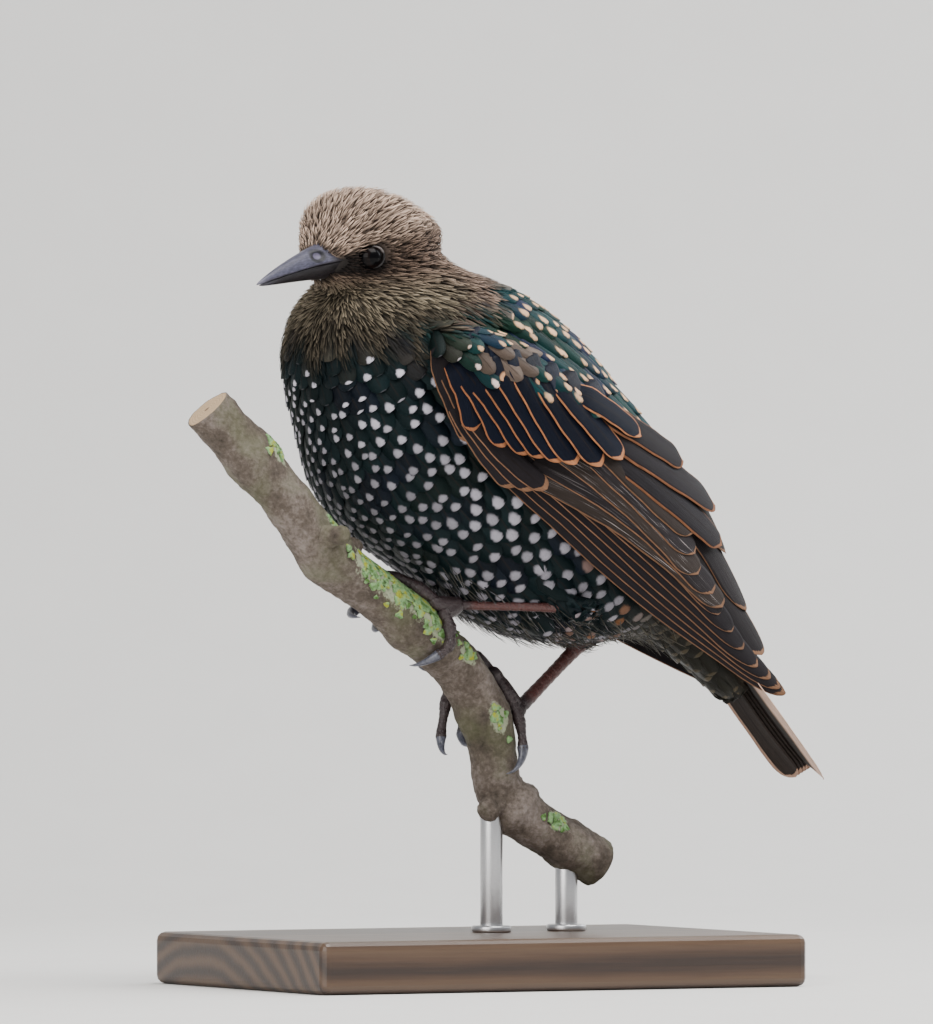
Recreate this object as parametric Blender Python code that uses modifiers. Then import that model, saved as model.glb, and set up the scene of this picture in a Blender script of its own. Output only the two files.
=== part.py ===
"""A young starling on a cut length of branch, as a still life-size model on a plain stand.

The bird faces -Y with its left side at +X, and stands on a perch that two rods carry above a
flat base. Sizes below are in millimetres; meshes are made in metres. The origin is the middle
of the base's underside.
"""
import math

import bmesh
import bpy
import numpy as np

MM = 0.001
GAP = 0.34           # between touching pieces
ROUND_BODY = 24      # points round the body
ROUND_HEAD = 20
ROUND_PERCH = 12
ROUND_TOE = 6

# Body stations from the throat to the vent: back y and z, front y and z, half width.
BODY_STATIONS = (
    (-15.0, 170.5, -38.5, 162.5, 13.0),
    (-8.0, 165.0, -46.0, 153.5, 18.5),
    (2.0, 161.8, -48.3, 141.0, 23.0),
    (11.0, 157.8, -45.0, 127.5, 25.5),
    (22.0, 150.0, -41.0, 114.5, 26.5),
    (31.5, 140.0, -33.0, 104.0, 26.3),
    (40.0, 129.0, -20.5, 95.5, 25.2),
    (47.0, 118.5, -5.5, 85.5, 22.6),
    (52.5, 108.5, 10.0, 79.6, 19.0),
    (56.5, 99.5, 26.0, 78.6, 15.0),
    (59.5, 91.0, 41.0, 79.6, 11.0),
    (62.5, 82.5, 53.0, 73.2, 8.0),
    (66.5, 74.0, 61.0, 66.5, 6.0),
    (68.6, 68.5, 66.0, 65.0, 3.0),
)
NECK_START = 0.0     # station numbers of the cuts across the body
NECK_END = 2.0
BODY_END = 13.0
BODY_FULLNESS = 2.15

# Head: turned to the bird's left and tipped a little down.
HEAD_CENTRE = (2.0, -29.2, 169.0)
HEAD_TURN = 27.8
HEAD_TIP = 9.0
# Forward distance, half width, height above and depth below the head's axis.
HEAD_STATIONS = (
    (-19.6, 3.5, 2.5, 3.0),
    (-17.6, 8.5, 6.5, 8.0),
    (-13.3, 13.0, 8.6, 12.5),
    (-7.0, 15.2, 10.8, 14.5),
    (0.0, 15.2, 13.4, 13.6),
    (6.0, 13.6, 14.2, 11.2),
    (11.0, 10.9, 12.8, 9.0),
    (15.5, 8.2, 9.6, 7.0),
    (19.0, 5.6, 6.2, 5.4),
    (21.6, 3.2, 3.8, 3.8),
)

HEAD_BROW = 0.3      # how much fuller the crown is than an oval

BILL_BASE = 17.0     # forward of the head's centre
BILL_TIP = 44.8
BILL_WIDTH = 3.7     # half width at the base
MOUTH_HEIGHT = -0.3  # of the mouth line at its base
MOUTH_DROP = 1.8     # how much lower it is at the tip
CULMEN_HEIGHT = 4.4
GONYS_DEPTH = 4.3
NOSTRIL = (25.0, 2.5, 1.5)
NOSTRIL_SIZE = (1.5, 0.8, 0.65)

EYE = (12.0, 8.1, -0.4)
EYE_RADIUS = 3.0
LID_RADIUS = 0.55
LID_STAND = 1.75     # how far out from the eye's centre the lids' rim lies
LID_FORWARD = 0.42   # how much the rim faces forward

# Folded wing of the left side: lower edge and upper edge from the bend to the tip.
WING_LOWER = (
    (26.5, -27.4, 149.4),
    (28.6, -23.3, 135.6),
    (29.0, -12.5, 118.4),
    (27.2, 5.3, 104.6),
    (23.4, 25.2, 90.8),
    (15.5, 50.9, 77.5),
    (7.6, 75.1, 66.4),
)
WING_UPPER = (
    (25.0, -24.0, 154.5),
    (23.5, -3.0, 148.5),
    (17.0, 20.0, 141.0),
    (8.5, 40.0, 129.5),
    (3.4, 55.0, 113.0),
    (3.3, 66.5, 89.0),
    (6.6, 75.9, 67.4),
)
WING_BULGE = (1.6, 3.8, 5.3, 5.9, 5.4, 2.7, 0.2)
WING_DEPTH = (6.0, 8.0, 9.0, 8.0, 5.0, 1.2, 0.8)
WING_SKIN = 0.4      # the core's height over the wing's sheet
WING_CORE_END = 0.9  # the core stops short of the feather tips

# Tiers of feathers on the wing, each in places along and across the wing's sheet: how many,
# the line of their roots, the line of their tips, half widths and lifts of the first and last.
WING_TIERS = {
    "primary": (5, ((0.24, 0.09), (0.34, 0.22)), ((1.0, 0.04), (0.82, 0.38)), (3.3, 4.0), (0.3, 1.1)),
    "secondary": (3, ((0.36, 0.26), (0.37, 0.36)), ((0.775, 0.43), (0.705, 0.56)), (4.2, 4.4), (1.3, 1.7)),
    "tertial": (3, ((0.36, 0.46), (0.34, 0.68)), ((0.73, 0.74), (0.585, 0.87)), (5.0, 4.6), (1.9, 2.4)),
    "primary_covert": (2, ((0.19, 0.07), (0.25, 0.12)), ((0.42, 0.07), (0.47, 0.17)), (2.8, 3.0), (1.4, 1.6)),
    "greater_covert": (7, ((0.13, 0.10), (0.18, 0.23), (0.25, 0.48), (0.32, 0.68)),
                       ((0.26, 0.06), (0.372, 0.235), (0.458, 0.385), (0.478, 0.72)), (3.1, 3.7), (1.9, 2.8)),
}
# A feather's outline and thickness from root to tip.
VANE_PLACES = (0.0, 0.5, 0.88, 1.0)
VANE_WIDTHS = (0.6, 1.0, 0.82, 0.2)
VANE_THICK = (1.1, 1.0, 0.8, 0.6)
VANE_SUNK = 0.9      # how far a vane's root lies below its lift
VANE_CAMBER = 0.2

TAIL_ROOT = (0.0, 50.0, 96.5)
TAIL_TIP = (0.0, 86.7, 47.3)
TAIL_HALF_WIDTHS = (5.0, 8.0, 11.0, 13.0, 12.2, 9.6)
TAIL_PAIRS = 5       # feathers on each side
TAIL_FEATHER = 4.3   # half width of one
TAIL_STEP = 0.36     # each pair lies this much below the pair inside it
TAIL_CORE = 0.45     # the root block's length, of the tail's
TAIL_THICK = 1.3
TAIL_CURVE = 1.5     # how far its middle bows downward
TAIL_ROOF = 1.6      # how far its edges lie below its middle

ANKLES = {"left": (21.5, 16.6, 86.6), "right": (-8.5, 35.0, 82.5)}
FOOT_BALLS = {"left": (8.6, -10.0, 87.4), "right": (-4.0, 12.1, 63.4)}
KNEES = {"left": (14.5, 10.5, 97.0), "right": (-11.0, 28.0, 92.0)}
TIBIA_REACH = {"left": 0.12, "right": 0.36}  # how far down the tarsus its feathering comes
TARSUS_RADIUS = 1.45
ANKLE_RADIUS = 1.9
BALL_RADIUS = 1.9
TIBIA_RADIUS = 5.0
TIBIA_CUFF = 2.6     # the feathering's radius where it ends at the ankle

# Centre line of the perch from its upper to its lower cut end.
PERCH_ROUTE = (
    (9.9, -74.5, 132.0),
    (10.6, -63.2, 120.0),
    (11.0, -53.6, 109.5),
    (9.5, -43.4, 98.0),
    (7.2, -29.5, 89.4),
    (4.5, -16.5, 80.2),
    (1.2, -6.5, 73.1),
    (-1.9, 2.8, 59.3),
    (-3.5, 6.4, 45.5),
    (-3.7, 12.7, 38.6),
    (-4.1, 22.7, 32.8),
    (-4.4, 33.2, 27.4),
)
PERCH_RADIUS = 5.7
# Swollen rings: place along the route, height, half length.
PERCH_RINGS = (
    (0.09, 1.1, 4.0), (0.27, 0.9, 3.5), (0.42, 0.8, 4.0),
    (0.62, 0.9, 4.5), (0.79, 1.1, 4.0), (0.93, 0.7, 4.0),
)
STUBS = ((0.235, 75.0, 5.5, 2.2), (0.30, -20.0, 2.4, 2.6), (0.745, 150.0, 2.6, 2.6))

# Toes: places along the perch relative to the foot in millimetres, degrees round it, and lift.
TOES = {
    "left": (0.437, {
        "hallux": ((1.0, 38.0, 1.6), (3.5, 62.0, 1.0), (4.8, 92.0, 1.3), (4.0, 118.0, 1.6)),
        "toe_inner": ((-1.5, 30.0, 1.6), (-6.0, 8.0, 1.4), (-10.0, -35.0, 1.3), (-12.0, -80.0, 1.3)),
        "toe_middle": ((-1.0, 22.0, 1.6), (-3.5, -20.0, 1.4), (-8.0, -85.0, 1.3), (-12.5, -138.0, 1.4)),
        "toe_outer": ((0.5, 20.0, 1.6), (-0.5, -25.0, 1.4), (-3.0, -80.0, 1.3), (-5.0, -120.0, 1.3)),
    }),
    "right": (0.575, {
        "hallux": ((2.0, -4.0, 1.8), (6.0, 14.0, 1.1), (10.5, 26.0, 1.3), (15.0, 42.0, 1.6)),
        "toe_inner": ((-1.0, -22.0, 1.8), (-4.0, -50.0, 1.4), (-7.5, -80.0, 1.3), (-10.0, -112.0, 1.3)),
        "toe_middle": ((0.0, -28.0, 1.8), (1.0, -75.0, 1.4), (3.0, -130.0, 1.6), (8.0, -158.0, 4.6)),
        "toe_outer": ((1.5, -20.0, 1.8), (4.5, -60.0, 1.4), (8.0, -95.0, 1.3), (11.0, -122.0, 1.3)),
    }),
}
CLAW_LENGTHS = {"hallux": 7.5, "toe_inner": 5.5, "toe_middle": 6.5, "toe_outer": 5.5}
CLAW_HOOK = 1.35     # how far a claw bends round, in radians
TOE_RADII = (1.45, 1.0)
TOE_PADS = 0.16      # how much the pads swell

BASE_LENGTH = 124.0
BASE_WIDTH = 88.0
BASE_HEIGHT = 12.0
BASE_ROUND = 2.0
ROD_RADIUS = 2.6
RODS = (0.665, 0.925)  # places along the perch that the rods carry
ROD_SINK = 1.2         # how far a rod's seat reaches into the perch's underside

FINISHES = {
    "head_feathers": ((0.30, 0.23, 0.17), 0.8, 0.0),
    "breast_feathers": ((0.012, 0.018, 0.018), 0.45, 0.0),
    "wing_feathers": ((0.035, 0.026, 0.02), 0.6, 0.0),
    "bill_horn": ((0.05, 0.055, 0.065), 0.35, 0.0),
    "eye_gloss": ((0.006, 0.005, 0.005), 0.05, 0.0),
    "leg_skin": ((0.16, 0.055, 0.035), 0.5, 0.0),
    "claw_horn": ((0.04, 0.045, 0.06), 0.35, 0.0),
    "bark": ((0.17, 0.15, 0.12), 0.9, 0.0),
    "base_wood": ((0.16, 0.085, 0.045), 0.45, 0.0),
    "rod_steel": ((0.55, 0.55, 0.55), 0.3, 1.0),
}


def clear_scene():
    for thing in list(bpy.data.objects):
        bpy.data.objects.remove(thing, do_unlink=True)


def new_collection(name):
    collection = bpy.data.collections.new(name)
    bpy.context.scene.collection.children.link(collection)
    return collection


clear_scene()
MODEL = new_collection("starling")
CUTTERS = new_collection("cutters")


def finish_material(name):
    """One Principled material for a named finish."""
    colour, roughness, metallic = FINISHES[name]
    material = bpy.data.materials.new(name)
    material.use_nodes = True
    shader = material.node_tree.nodes["Principled BSDF"]
    shader.inputs["Base Color"].default_value = (*colour, 1.0)
    shader.inputs["Roughness"].default_value = roughness
    shader.inputs["Metallic"].default_value = metallic
    return material


def unit(vector):
    vector = np.asarray(vector, float)
    return vector / np.linalg.norm(vector)


def spline(values, place):
    """A smooth curve through evenly numbered values, read at a place from 0 to 1."""
    values = np.asarray(values, float)
    slopes = np.gradient(values, axis=0)
    scaled = np.clip(np.asarray(place, float), 0.0, 1.0) * (len(values) - 1)
    start = np.minimum(scaled.astype(int), len(values) - 2)
    t = scaled - start
    if values.ndim > 1:
        t = t[..., None]
    first = (2 * t**3 - 3 * t**2 + 1) * values[start] + (t**3 - 2 * t**2 + t) * slopes[start]
    return first + (3 * t**2 - 2 * t**3) * values[start + 1] + (t**3 - t**2) * slopes[start + 1]


def add_mesh(name, points, faces, finish, collection=None):
    """A closed triangle mesh from points in millimetres."""
    mesh = bpy.data.meshes.new(name)
    mesh.from_pydata((np.asarray(points) * MM).tolist(), [], [tuple(map(int, face)) for face in faces])
    shape = bmesh.new()
    shape.from_mesh(mesh)
    bmesh.ops.recalc_face_normals(shape, faces=shape.faces)
    shape.to_mesh(mesh)
    shape.free()
    obj = bpy.data.objects.new(name, mesh)
    (collection or MODEL).objects.link(obj)
    if finish:
        mesh.materials.append(bpy.data.materials.get(finish) or finish_material(finish))
    mesh.shade_smooth()
    if collection is CUTTERS:
        obj.hide_render = True
        obj.display_type = "WIRE"
    return obj


def loft(name, rings, finish, collection=None):
    """Triangles between rings of equal count, with a fan on each end."""
    rings = np.asarray(rings, float)
    count, around = rings.shape[:2]
    points = [*rings.reshape(-1, 3), rings[0].mean(axis=0), rings[-1].mean(axis=0)]
    faces = []
    for row in range(count - 1):
        for k in range(around):
            a = row * around + k
            b = row * around + (k + 1) % around
            faces += [(a, b, b + around), (a, b + around, a + around)]
    last = (count - 1) * around
    for k in range(around):
        after = (k + 1) % around
        faces += [(after, k, count * around), (last + k, last + after, count * around + 1)]
    return add_mesh(name, points, faces, finish, collection)


def sheet_solid(name, outer, inner, finish, collection=None):
    """A closed plate between two grids of points, split alike on both faces."""
    rows, columns = outer.shape[:2]
    points = np.concatenate([outer.reshape(-1, 3), inner.reshape(-1, 3)])
    shift = rows * columns
    faces = []
    for i in range(rows - 1):
        for j in range(columns - 1):
            a = i * columns + j
            b, c, d = a + 1, a + columns + 1, a + columns
            faces += [(a, b, c), (a, c, d), (a + shift, c + shift, b + shift), (a + shift, d + shift, c + shift)]
    rim = [j for j in range(columns)]
    rim += [i * columns + columns - 1 for i in range(1, rows)]
    rim += [(rows - 1) * columns + j for j in range(columns - 2, -1, -1)]
    rim += [i * columns for i in range(rows - 2, 0, -1)]
    for k, a in enumerate(rim):
        b = rim[(k + 1) % len(rim)]
        faces += [(a, a + shift, b + shift), (a, b + shift, b)]
    return add_mesh(name, points, faces, finish, collection)


def inflated(source, gap=GAP):
    """A cutter: the source grown by the gap along its normals."""
    mesh = source.data.copy()
    cutter = bpy.data.objects.new(source.name + "_room", mesh)
    CUTTERS.objects.link(cutter)
    cutter.hide_render = True
    cutter.display_type = "WIRE"
    normals = [normal.vector.copy() for normal in mesh.vertex_normals]
    for vertex, normal in zip(mesh.vertices, normals):
        vertex.co += normal * gap * MM
    return cutter


def keep_largest(obj):
    """Leaves only the closed surface with the most area."""
    shape = bmesh.new()
    shape.from_mesh(obj.data)
    left = set(shape.verts)
    islands = []
    while left:
        found = {left.pop()}
        edge_of = list(found)
        while edge_of:
            vertex = edge_of.pop()
            for edge in vertex.link_edges:
                other = edge.other_vert(vertex)
                if other in left:
                    left.remove(other)
                    found.add(other)
                    edge_of.append(other)
        islands.append(found)
    area = [sum(face.calc_area() for vertex in island for face in vertex.link_faces) for island in islands]
    keep = islands[int(np.argmax(area))]
    bmesh.ops.delete(shape, geom=[vertex for vertex in shape.verts if vertex not in keep], context="VERTS")
    bmesh.ops.triangulate(shape, faces=shape.faces)
    shape.to_mesh(obj.data)
    shape.free()


def apply_boolean(obj, operation, others, solver="MANIFOLD"):
    """Joins or cuts with a collection of closed meshes, then removes them if they were joined."""
    collection = bpy.data.collections.new(obj.name + "_pieces")
    bpy.context.scene.collection.children.link(collection)
    for other in others:
        collection.objects.link(other)
    step = obj.modifiers.new(operation.lower(), "BOOLEAN")
    step.operation = operation
    step.operand_type = "COLLECTION"
    step.collection = collection
    step.solver = solver
    depsgraph = bpy.context.evaluated_depsgraph_get()
    mesh = bpy.data.meshes.new_from_object(obj.evaluated_get(depsgraph))
    obj.modifiers.clear()
    obj.data = mesh
    for other in others:
        collection.objects.unlink(other)
        if operation == "UNION":
            bpy.data.objects.remove(other, do_unlink=True)
    bpy.data.collections.remove(collection)
    keep_largest(obj)
    return obj


def join(obj, others):
    return apply_boolean(obj, "UNION", others)


def carve(obj, others):
    return apply_boolean(obj, "DIFFERENCE", others)


def body_ring(station):
    """The body's outline at a station number."""
    back_y, back_z, front_y, front_z, half_width = spline(BODY_STATIONS, station / (len(BODY_STATIONS) - 1))
    back = np.array((0.0, back_y, back_z))
    front = np.array((0.0, front_y, front_z))
    centre = (back + front) / 2
    reach = (back - front) / 2
    angles = np.arange(ROUND_BODY) * 2 * math.pi / ROUND_BODY
    power = 2 / BODY_FULLNESS
    lengthwise = np.sign(np.cos(angles)) * np.abs(np.cos(angles))**power
    sideways = np.sign(np.sin(angles)) * np.abs(np.sin(angles))**power
    return centre + lengthwise[:, None] * reach + sideways[:, None] * np.array((half_width, 0.0, 0.0))


def cut_shift(station):
    """The step in stations that leaves half the gap on one side of a cut."""
    step = body_ring(station + 0.05).mean(axis=0) - body_ring(station).mean(axis=0)
    return 0.05 * (GAP / 2) / np.linalg.norm(step)


def make_body():
    first = np.linspace(NECK_START, NECK_END - cut_shift(NECK_END), 8)
    second = np.linspace(NECK_END + cut_shift(NECK_END), BODY_END, 25)
    neck = loft("neck", [body_ring(place) for place in first], "head_feathers")
    torso = loft("torso", [body_ring(place) for place in second], "breast_feathers")
    return neck, torso


def head_axes():
    turn = math.radians(HEAD_TURN)
    tip = math.radians(HEAD_TIP)
    level = np.array((math.sin(turn), -math.cos(turn), 0.0))
    forward = level * math.cos(tip) - np.array((0.0, 0.0, math.sin(tip)))
    left = np.array((math.cos(turn), math.sin(turn), 0.0))
    return forward, left, np.cross(forward, left)


def head_point(forward, left, up):
    """A place given in the head's own directions, forward, left and up."""
    axes = head_axes()
    return np.array(HEAD_CENTRE) + forward * axes[0] + left * axes[1] + up * axes[2]


def head_ring(place):
    forward, half_width, above, below = spline(HEAD_STATIONS, place)
    ring = []
    for k in range(ROUND_HEAD):
        angle = 2 * math.pi * k / ROUND_HEAD
        height = math.sin(angle) * (above if math.sin(angle) > 0 else below)
        fullness = 1 + HEAD_BROW * max(0.0, math.sin(angle))
        ring.append(head_point(forward, half_width * math.cos(angle) * fullness, height))
    return ring


def ball(name, centre, radii, finish, axes=None, collection=None, rings=8, around=12):
    """A round or oval ball along its own axes."""
    axes = np.eye(3) if axes is None else np.array(axes)
    rows = []
    for i in range(1, rings):
        tilt = math.pi * i / rings
        turns = np.arange(around) * 2 * math.pi / around
        local = np.stack([np.full(around, math.cos(tilt)), math.sin(tilt) * np.cos(turns),
                          math.sin(tilt) * np.sin(turns)], axis=1) * np.array(radii)
        rows.append(np.array(centre) + local @ axes)
    obj = loft(name, rows, finish, collection)
    ends = np.array(centre) + np.array([[radii[0], 0, 0], [-radii[0], 0, 0]]) @ axes
    for vertex, end in zip(list(obj.data.vertices)[-2:], ends):
        vertex.co = end * MM
    return obj


def tube(name, centres, radii, finish, collection=None, around=ROUND_TOE):
    """A tapered tube round a line of centres."""
    centres = np.asarray(centres, float)
    along = np.gradient(centres, axis=0)
    side = unit(np.cross(along[0], (0.31, 0.22, 0.93)))
    rings = []
    for centre, direction, radius in zip(centres, along, radii):
        direction = unit(direction)
        side = unit(side - direction * np.dot(side, direction))
        other = np.cross(direction, side)
        turns = np.arange(around) * 2 * math.pi / around
        rings.append(centre + radius * (np.cos(turns)[:, None] * side + np.sin(turns)[:, None] * other))
    return loft(name, rings, finish, collection)


def lid_ring(side):
    """The rim of the lids round one eye, standing on the head."""
    forward, left, up = head_axes()
    centre = head_point(EYE[0], side * (EYE[1] + LID_STAND), EYE[2])
    outward = unit(left * side + forward * LID_FORWARD)
    across = unit(np.cross(up, outward))
    upward = np.cross(outward, across)
    rings = []
    steps = 14
    for k in range(steps):
        turn = 2 * math.pi * k / steps
        radial = math.cos(turn) * across + math.sin(turn) * upward
        middle = centre + radial * (EYE_RADIUS * 0.93)
        ring = [middle + LID_RADIUS * (math.cos(a) * radial + 1.5 * math.sin(a) * outward)
                for a in np.arange(6) * math.pi / 3]
        rings.append(ring)
    points = np.array(rings).reshape(-1, 3)
    faces = []
    for row in range(steps):
        for k in range(6):
            a = row * 6 + k
            b = row * 6 + (k + 1) % 6
            c = ((row + 1) % steps) * 6
            faces += [(a, b, c + (k + 1) % 6), (a, c + (k + 1) % 6, c + k)]
    return add_mesh("lid", points, faces, None, CUTTERS)


def make_head():
    places = (1 - np.cos(np.linspace(0, math.pi, 13))) / 2
    head = loft("head", [head_ring(place) for place in places], "head_feathers")
    join(head, [lid_ring(1), lid_ring(-1)])
    eyes = []
    for name, side in (("left", 1), ("right", -1)):
        centre = head_point(EYE[0], side * EYE[1], EYE[2])
        eye = ball(f"eye_{name}", centre, (EYE_RADIUS,) * 3, "eye_gloss", rings=8, around=14)
        eyes.append(eye)
    carve(head, [inflated(eye) for eye in eyes])
    return head, eyes


def bill_ring(place, upper):
    """A half round outline across the bill, flat on the mouth line."""
    forward = BILL_BASE + (BILL_TIP - BILL_BASE) * place
    taper = 1 - place
    width = BILL_WIDTH * (0.12 + 0.88 * taper**0.85)
    mouth = MOUTH_HEIGHT - MOUTH_DROP * place
    if upper:
        height = CULMEN_HEIGHT - MOUTH_HEIGHT
        height = height * (taper**0.75) * 0.95 + 0.35
        offset, sign = GAP / 2, 1
    else:
        forward = BILL_BASE + (BILL_TIP - 0.9 - BILL_BASE) * place
        height = (GONYS_DEPTH + MOUTH_HEIGHT) * taper**0.8 + 0.35
        width *= 0.94
        offset, sign = -GAP / 2, -1
    ring = []
    for k in range(8):
        angle = math.pi * k / 7
        ring.append(head_point(forward, width * math.cos(angle), mouth + offset + sign * height * math.sin(angle)))
    return ring


def make_bill(head):
    rings = np.linspace(0, 1, 10)
    upper = loft("upper_bill", [bill_ring(place, True) for place in rings], "bill_horn")
    lower = loft("lower_bill", [bill_ring(place, False) for place in rings], "bill_horn")
    pits = []
    for side in (1, -1):
        centre = head_point(NOSTRIL[0], side * NOSTRIL[1], NOSTRIL[2])
        pits.append(ball("nostril", centre, NOSTRIL_SIZE, None, head_axes(), CUTTERS, 6, 8))
    room = inflated(head)
    carve(upper, [room, *pits])
    carve(lower, [room])


def wing_sheet(along, across, lift, side):
    """A place on the folded wing: along from bend to tip, across from lower to upper edge."""
    def place(u, v):
        low = spline(WING_LOWER, u)
        high = spline(WING_UPPER, u)
        flat = low + (high - low) * v[..., None]
        ahead = spline(WING_LOWER, np.minimum(u + 0.02, 1)) - spline(WING_LOWER, np.maximum(u - 0.02, 0))
        outward = np.cross(ahead, high - low)
        outward /= np.linalg.norm(outward, axis=-1, keepdims=True)
        return flat + outward * (spline(WING_BULGE, u) * 4 * v * (1 - v))[..., None]

    along, across = np.broadcast_arrays(np.asarray(along, float), np.asarray(across, float))
    step = 0.01
    here = place(along, across)
    by_u = place(np.minimum(along + step, 1), across) - place(np.maximum(along - step, 0), across)
    by_v = place(along, across + step) - place(along, across - step)
    normal = np.cross(by_u, by_v)
    normal /= np.linalg.norm(normal, axis=-1, keepdims=True)
    point = here + normal * np.asarray(lift, float)[..., None]
    return point * np.array((side, 1.0, 1.0))


def vane(surface, thick=VANE_THICK):
    """One feather as a thin closed plate on a surface given along, across and by lift."""
    along = np.array(VANE_PLACES)[:, None]
    across = np.array((-1.0, 0.0, 1.0))[None, :]
    width = np.array(VANE_WIDTHS)[:, None]
    rise = VANE_CAMBER * (1 - across**2) - VANE_SUNK * (along == 0)
    half = np.array(thick)[:, None] / 2 + 0 * across
    outer = surface(along, across * width, rise + half)
    inner = surface(along, across * width, rise - half)
    return sheet_solid("vane", outer, inner, None, CUTTERS)


def wing_vane(root, tip, half_width, lift, side):
    def surface(along, across, rise):
        u = root[0] + (tip[0] - root[0]) * along + 0 * across
        middle = root[1] + (tip[1] - root[1]) * along
        chord = np.linalg.norm(spline(WING_UPPER, u) - spline(WING_LOWER, u), axis=-1)
        v = middle + across * half_width / np.maximum(chord, half_width * 2)
        return wing_sheet(u, v, lift + rise, side)
    return vane(surface)


def wing_tier(tier, side):
    """The vanes of one tier, the last one uppermost."""
    count, roots, tips, half_widths, lifts = WING_TIERS[tier]
    pieces = []
    for k in range(count):
        part = k / (count - 1)
        half_width = half_widths[0] + (half_widths[1] - half_widths[0]) * part
        lift = lifts[0] + (lifts[1] - lifts[0]) * part
        pieces.append(wing_vane(spline(roots, part), spline(tips, part), half_width, lift, side))
    return pieces


def make_wing(name, side, torso_room, tail_room):
    rows = np.linspace(0, WING_CORE_END, 13)[:, None]
    columns = np.linspace(0.03, 0.97, 4)[None, :]
    outer = wing_sheet(rows, columns, WING_SKIN + 0 * rows * columns, side)
    inner = wing_sheet(rows, columns, -spline(WING_DEPTH, rows[:, 0])[:, None] + 0 * columns, side)
    wing = sheet_solid(f"wing_{name}", outer, inner, "wing_feathers")
    join(wing, [piece for tier in WING_TIERS for piece in wing_tier(tier, side)])
    carve(wing, [torso_room, tail_room])
    return wing


def tail_sheet(along, across, lift):
    """A place on the tail: along from root to tip, across from -1 to 1."""
    root, tip = np.array(TAIL_ROOT), np.array(TAIL_TIP)
    direction = unit(tip - root)
    above = np.array((0.0, -direction[2], direction[1]))
    along, across = np.broadcast_arrays(np.asarray(along, float), np.asarray(across, float))
    width = spline(TAIL_HALF_WIDTHS, along)
    height = np.asarray(lift, float) - TAIL_CURVE * np.sin(math.pi * along) - TAIL_ROOF * across**2
    return (root + (tip - root) * along[..., None] + above * height[..., None]
            + np.array((1.0, 0.0, 0.0)) * (width * across)[..., None])


def tail_vane(pair, side):
    """One tail feather: the middle pair lies uppermost, and the outermost has the tail's edge."""
    spread = (pair + 0.35) / (TAIL_PAIRS - 0.65)

    def surface(along, across, rise):
        width = spline(TAIL_HALF_WIDTHS, along)
        middle = side * spread * (1 - TAIL_FEATHER / width)
        edge = middle + across * TAIL_FEATHER / width
        reach = along * (1.0 - 0.018 * (1 - spread))
        return tail_sheet(reach, np.clip(edge, -1, 1), rise + TAIL_STEP * (1.5 - pair))
    return vane(surface, [size * 0.8 for size in VANE_THICK])


def make_tail(torso_room):
    rows = np.linspace(0, TAIL_CORE, 6)[:, None]
    columns = np.linspace(-0.85, 0.85, 5)[None, :]
    flat = 0 * rows * columns
    tail = sheet_solid("tail", tail_sheet(rows, columns, flat + TAIL_THICK / 2),
                       tail_sheet(rows, columns, flat - TAIL_THICK / 2), "wing_feathers")
    join(tail, [tail_vane(pair, side) for pair in range(TAIL_PAIRS) for side in (1, -1)])
    carve(tail, [torso_room])
    return tail


def make_leg(name, torso_room):
    ankle = np.array(ANKLES[name])
    foot = np.array(FOOT_BALLS[name])
    knee = np.array(KNEES[name])
    down = foot - ankle
    centres = [ankle + down * place for place in (0.0, 0.05, 0.1, 0.2, 0.4, 0.6, 0.8, 0.92, 1.0)]
    radii = (1.2, ANKLE_RADIUS, ANKLE_RADIUS * 0.97, TARSUS_RADIUS * 1.05, TARSUS_RADIUS,
             TARSUS_RADIUS * 0.95, TARSUS_RADIUS, TARSUS_RADIUS * 1.15, 1.3)
    tarsus = tube(f"tarsus_{name}", centres, radii, "leg_skin", around=10)
    upward = knee - ankle
    start = ankle + down * TIBIA_REACH[name]
    thigh = [start + (knee + upward * 0.2 - start) * place for place in (0.0, 0.12, 0.35, 0.65, 1.0)]
    thigh_radii = (TIBIA_CUFF, TIBIA_CUFF + 0.9, TIBIA_RADIUS * 0.75, TIBIA_RADIUS, TIBIA_RADIUS)
    tibia = tube(f"tibia_{name}", thigh, thigh_radii, "breast_feathers", around=14)
    carve(tibia, [torso_room])
    return tarsus, tibia


def perch_frame(place):
    """Centre, direction, near side and upper side of the perch at a place from 0 to 1."""
    step = 0.004
    centre = spline(PERCH_ROUTE, place)
    ahead = spline(PERCH_ROUTE, min(place + step, 1)) - spline(PERCH_ROUTE, max(place - step, 0))
    along = unit(ahead)
    side = unit(np.array((1.0, 0.0, 0.0)) - along[0] * along)
    return centre, along, side, np.cross(side, along)


def perch_length():
    route = spline(PERCH_ROUTE, np.linspace(0, 1, 200))
    return np.linalg.norm(np.diff(route, axis=0), axis=1).sum()


PERCH_LENGTH = perch_length()


def perch_radius(place, angle):
    radius = PERCH_RADIUS + 0.25 * math.sin(3 * angle + 9 * place) + 0.2 * math.sin(2 * angle - 23 * place)
    for middle, height, half_length in PERCH_RINGS:
        radius += height * math.exp(-((place - middle) * PERCH_LENGTH / half_length)**2)
    return radius


def perch_point(place, degrees, lift):
    """A place on the perch: degrees run from its upper side to its near side."""
    centre, along, side, upper = perch_frame(place)
    angle = math.radians(degrees)
    reach = perch_radius(place, angle) + lift
    return centre + reach * (math.cos(angle) * upper + math.sin(angle) * side)


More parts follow.
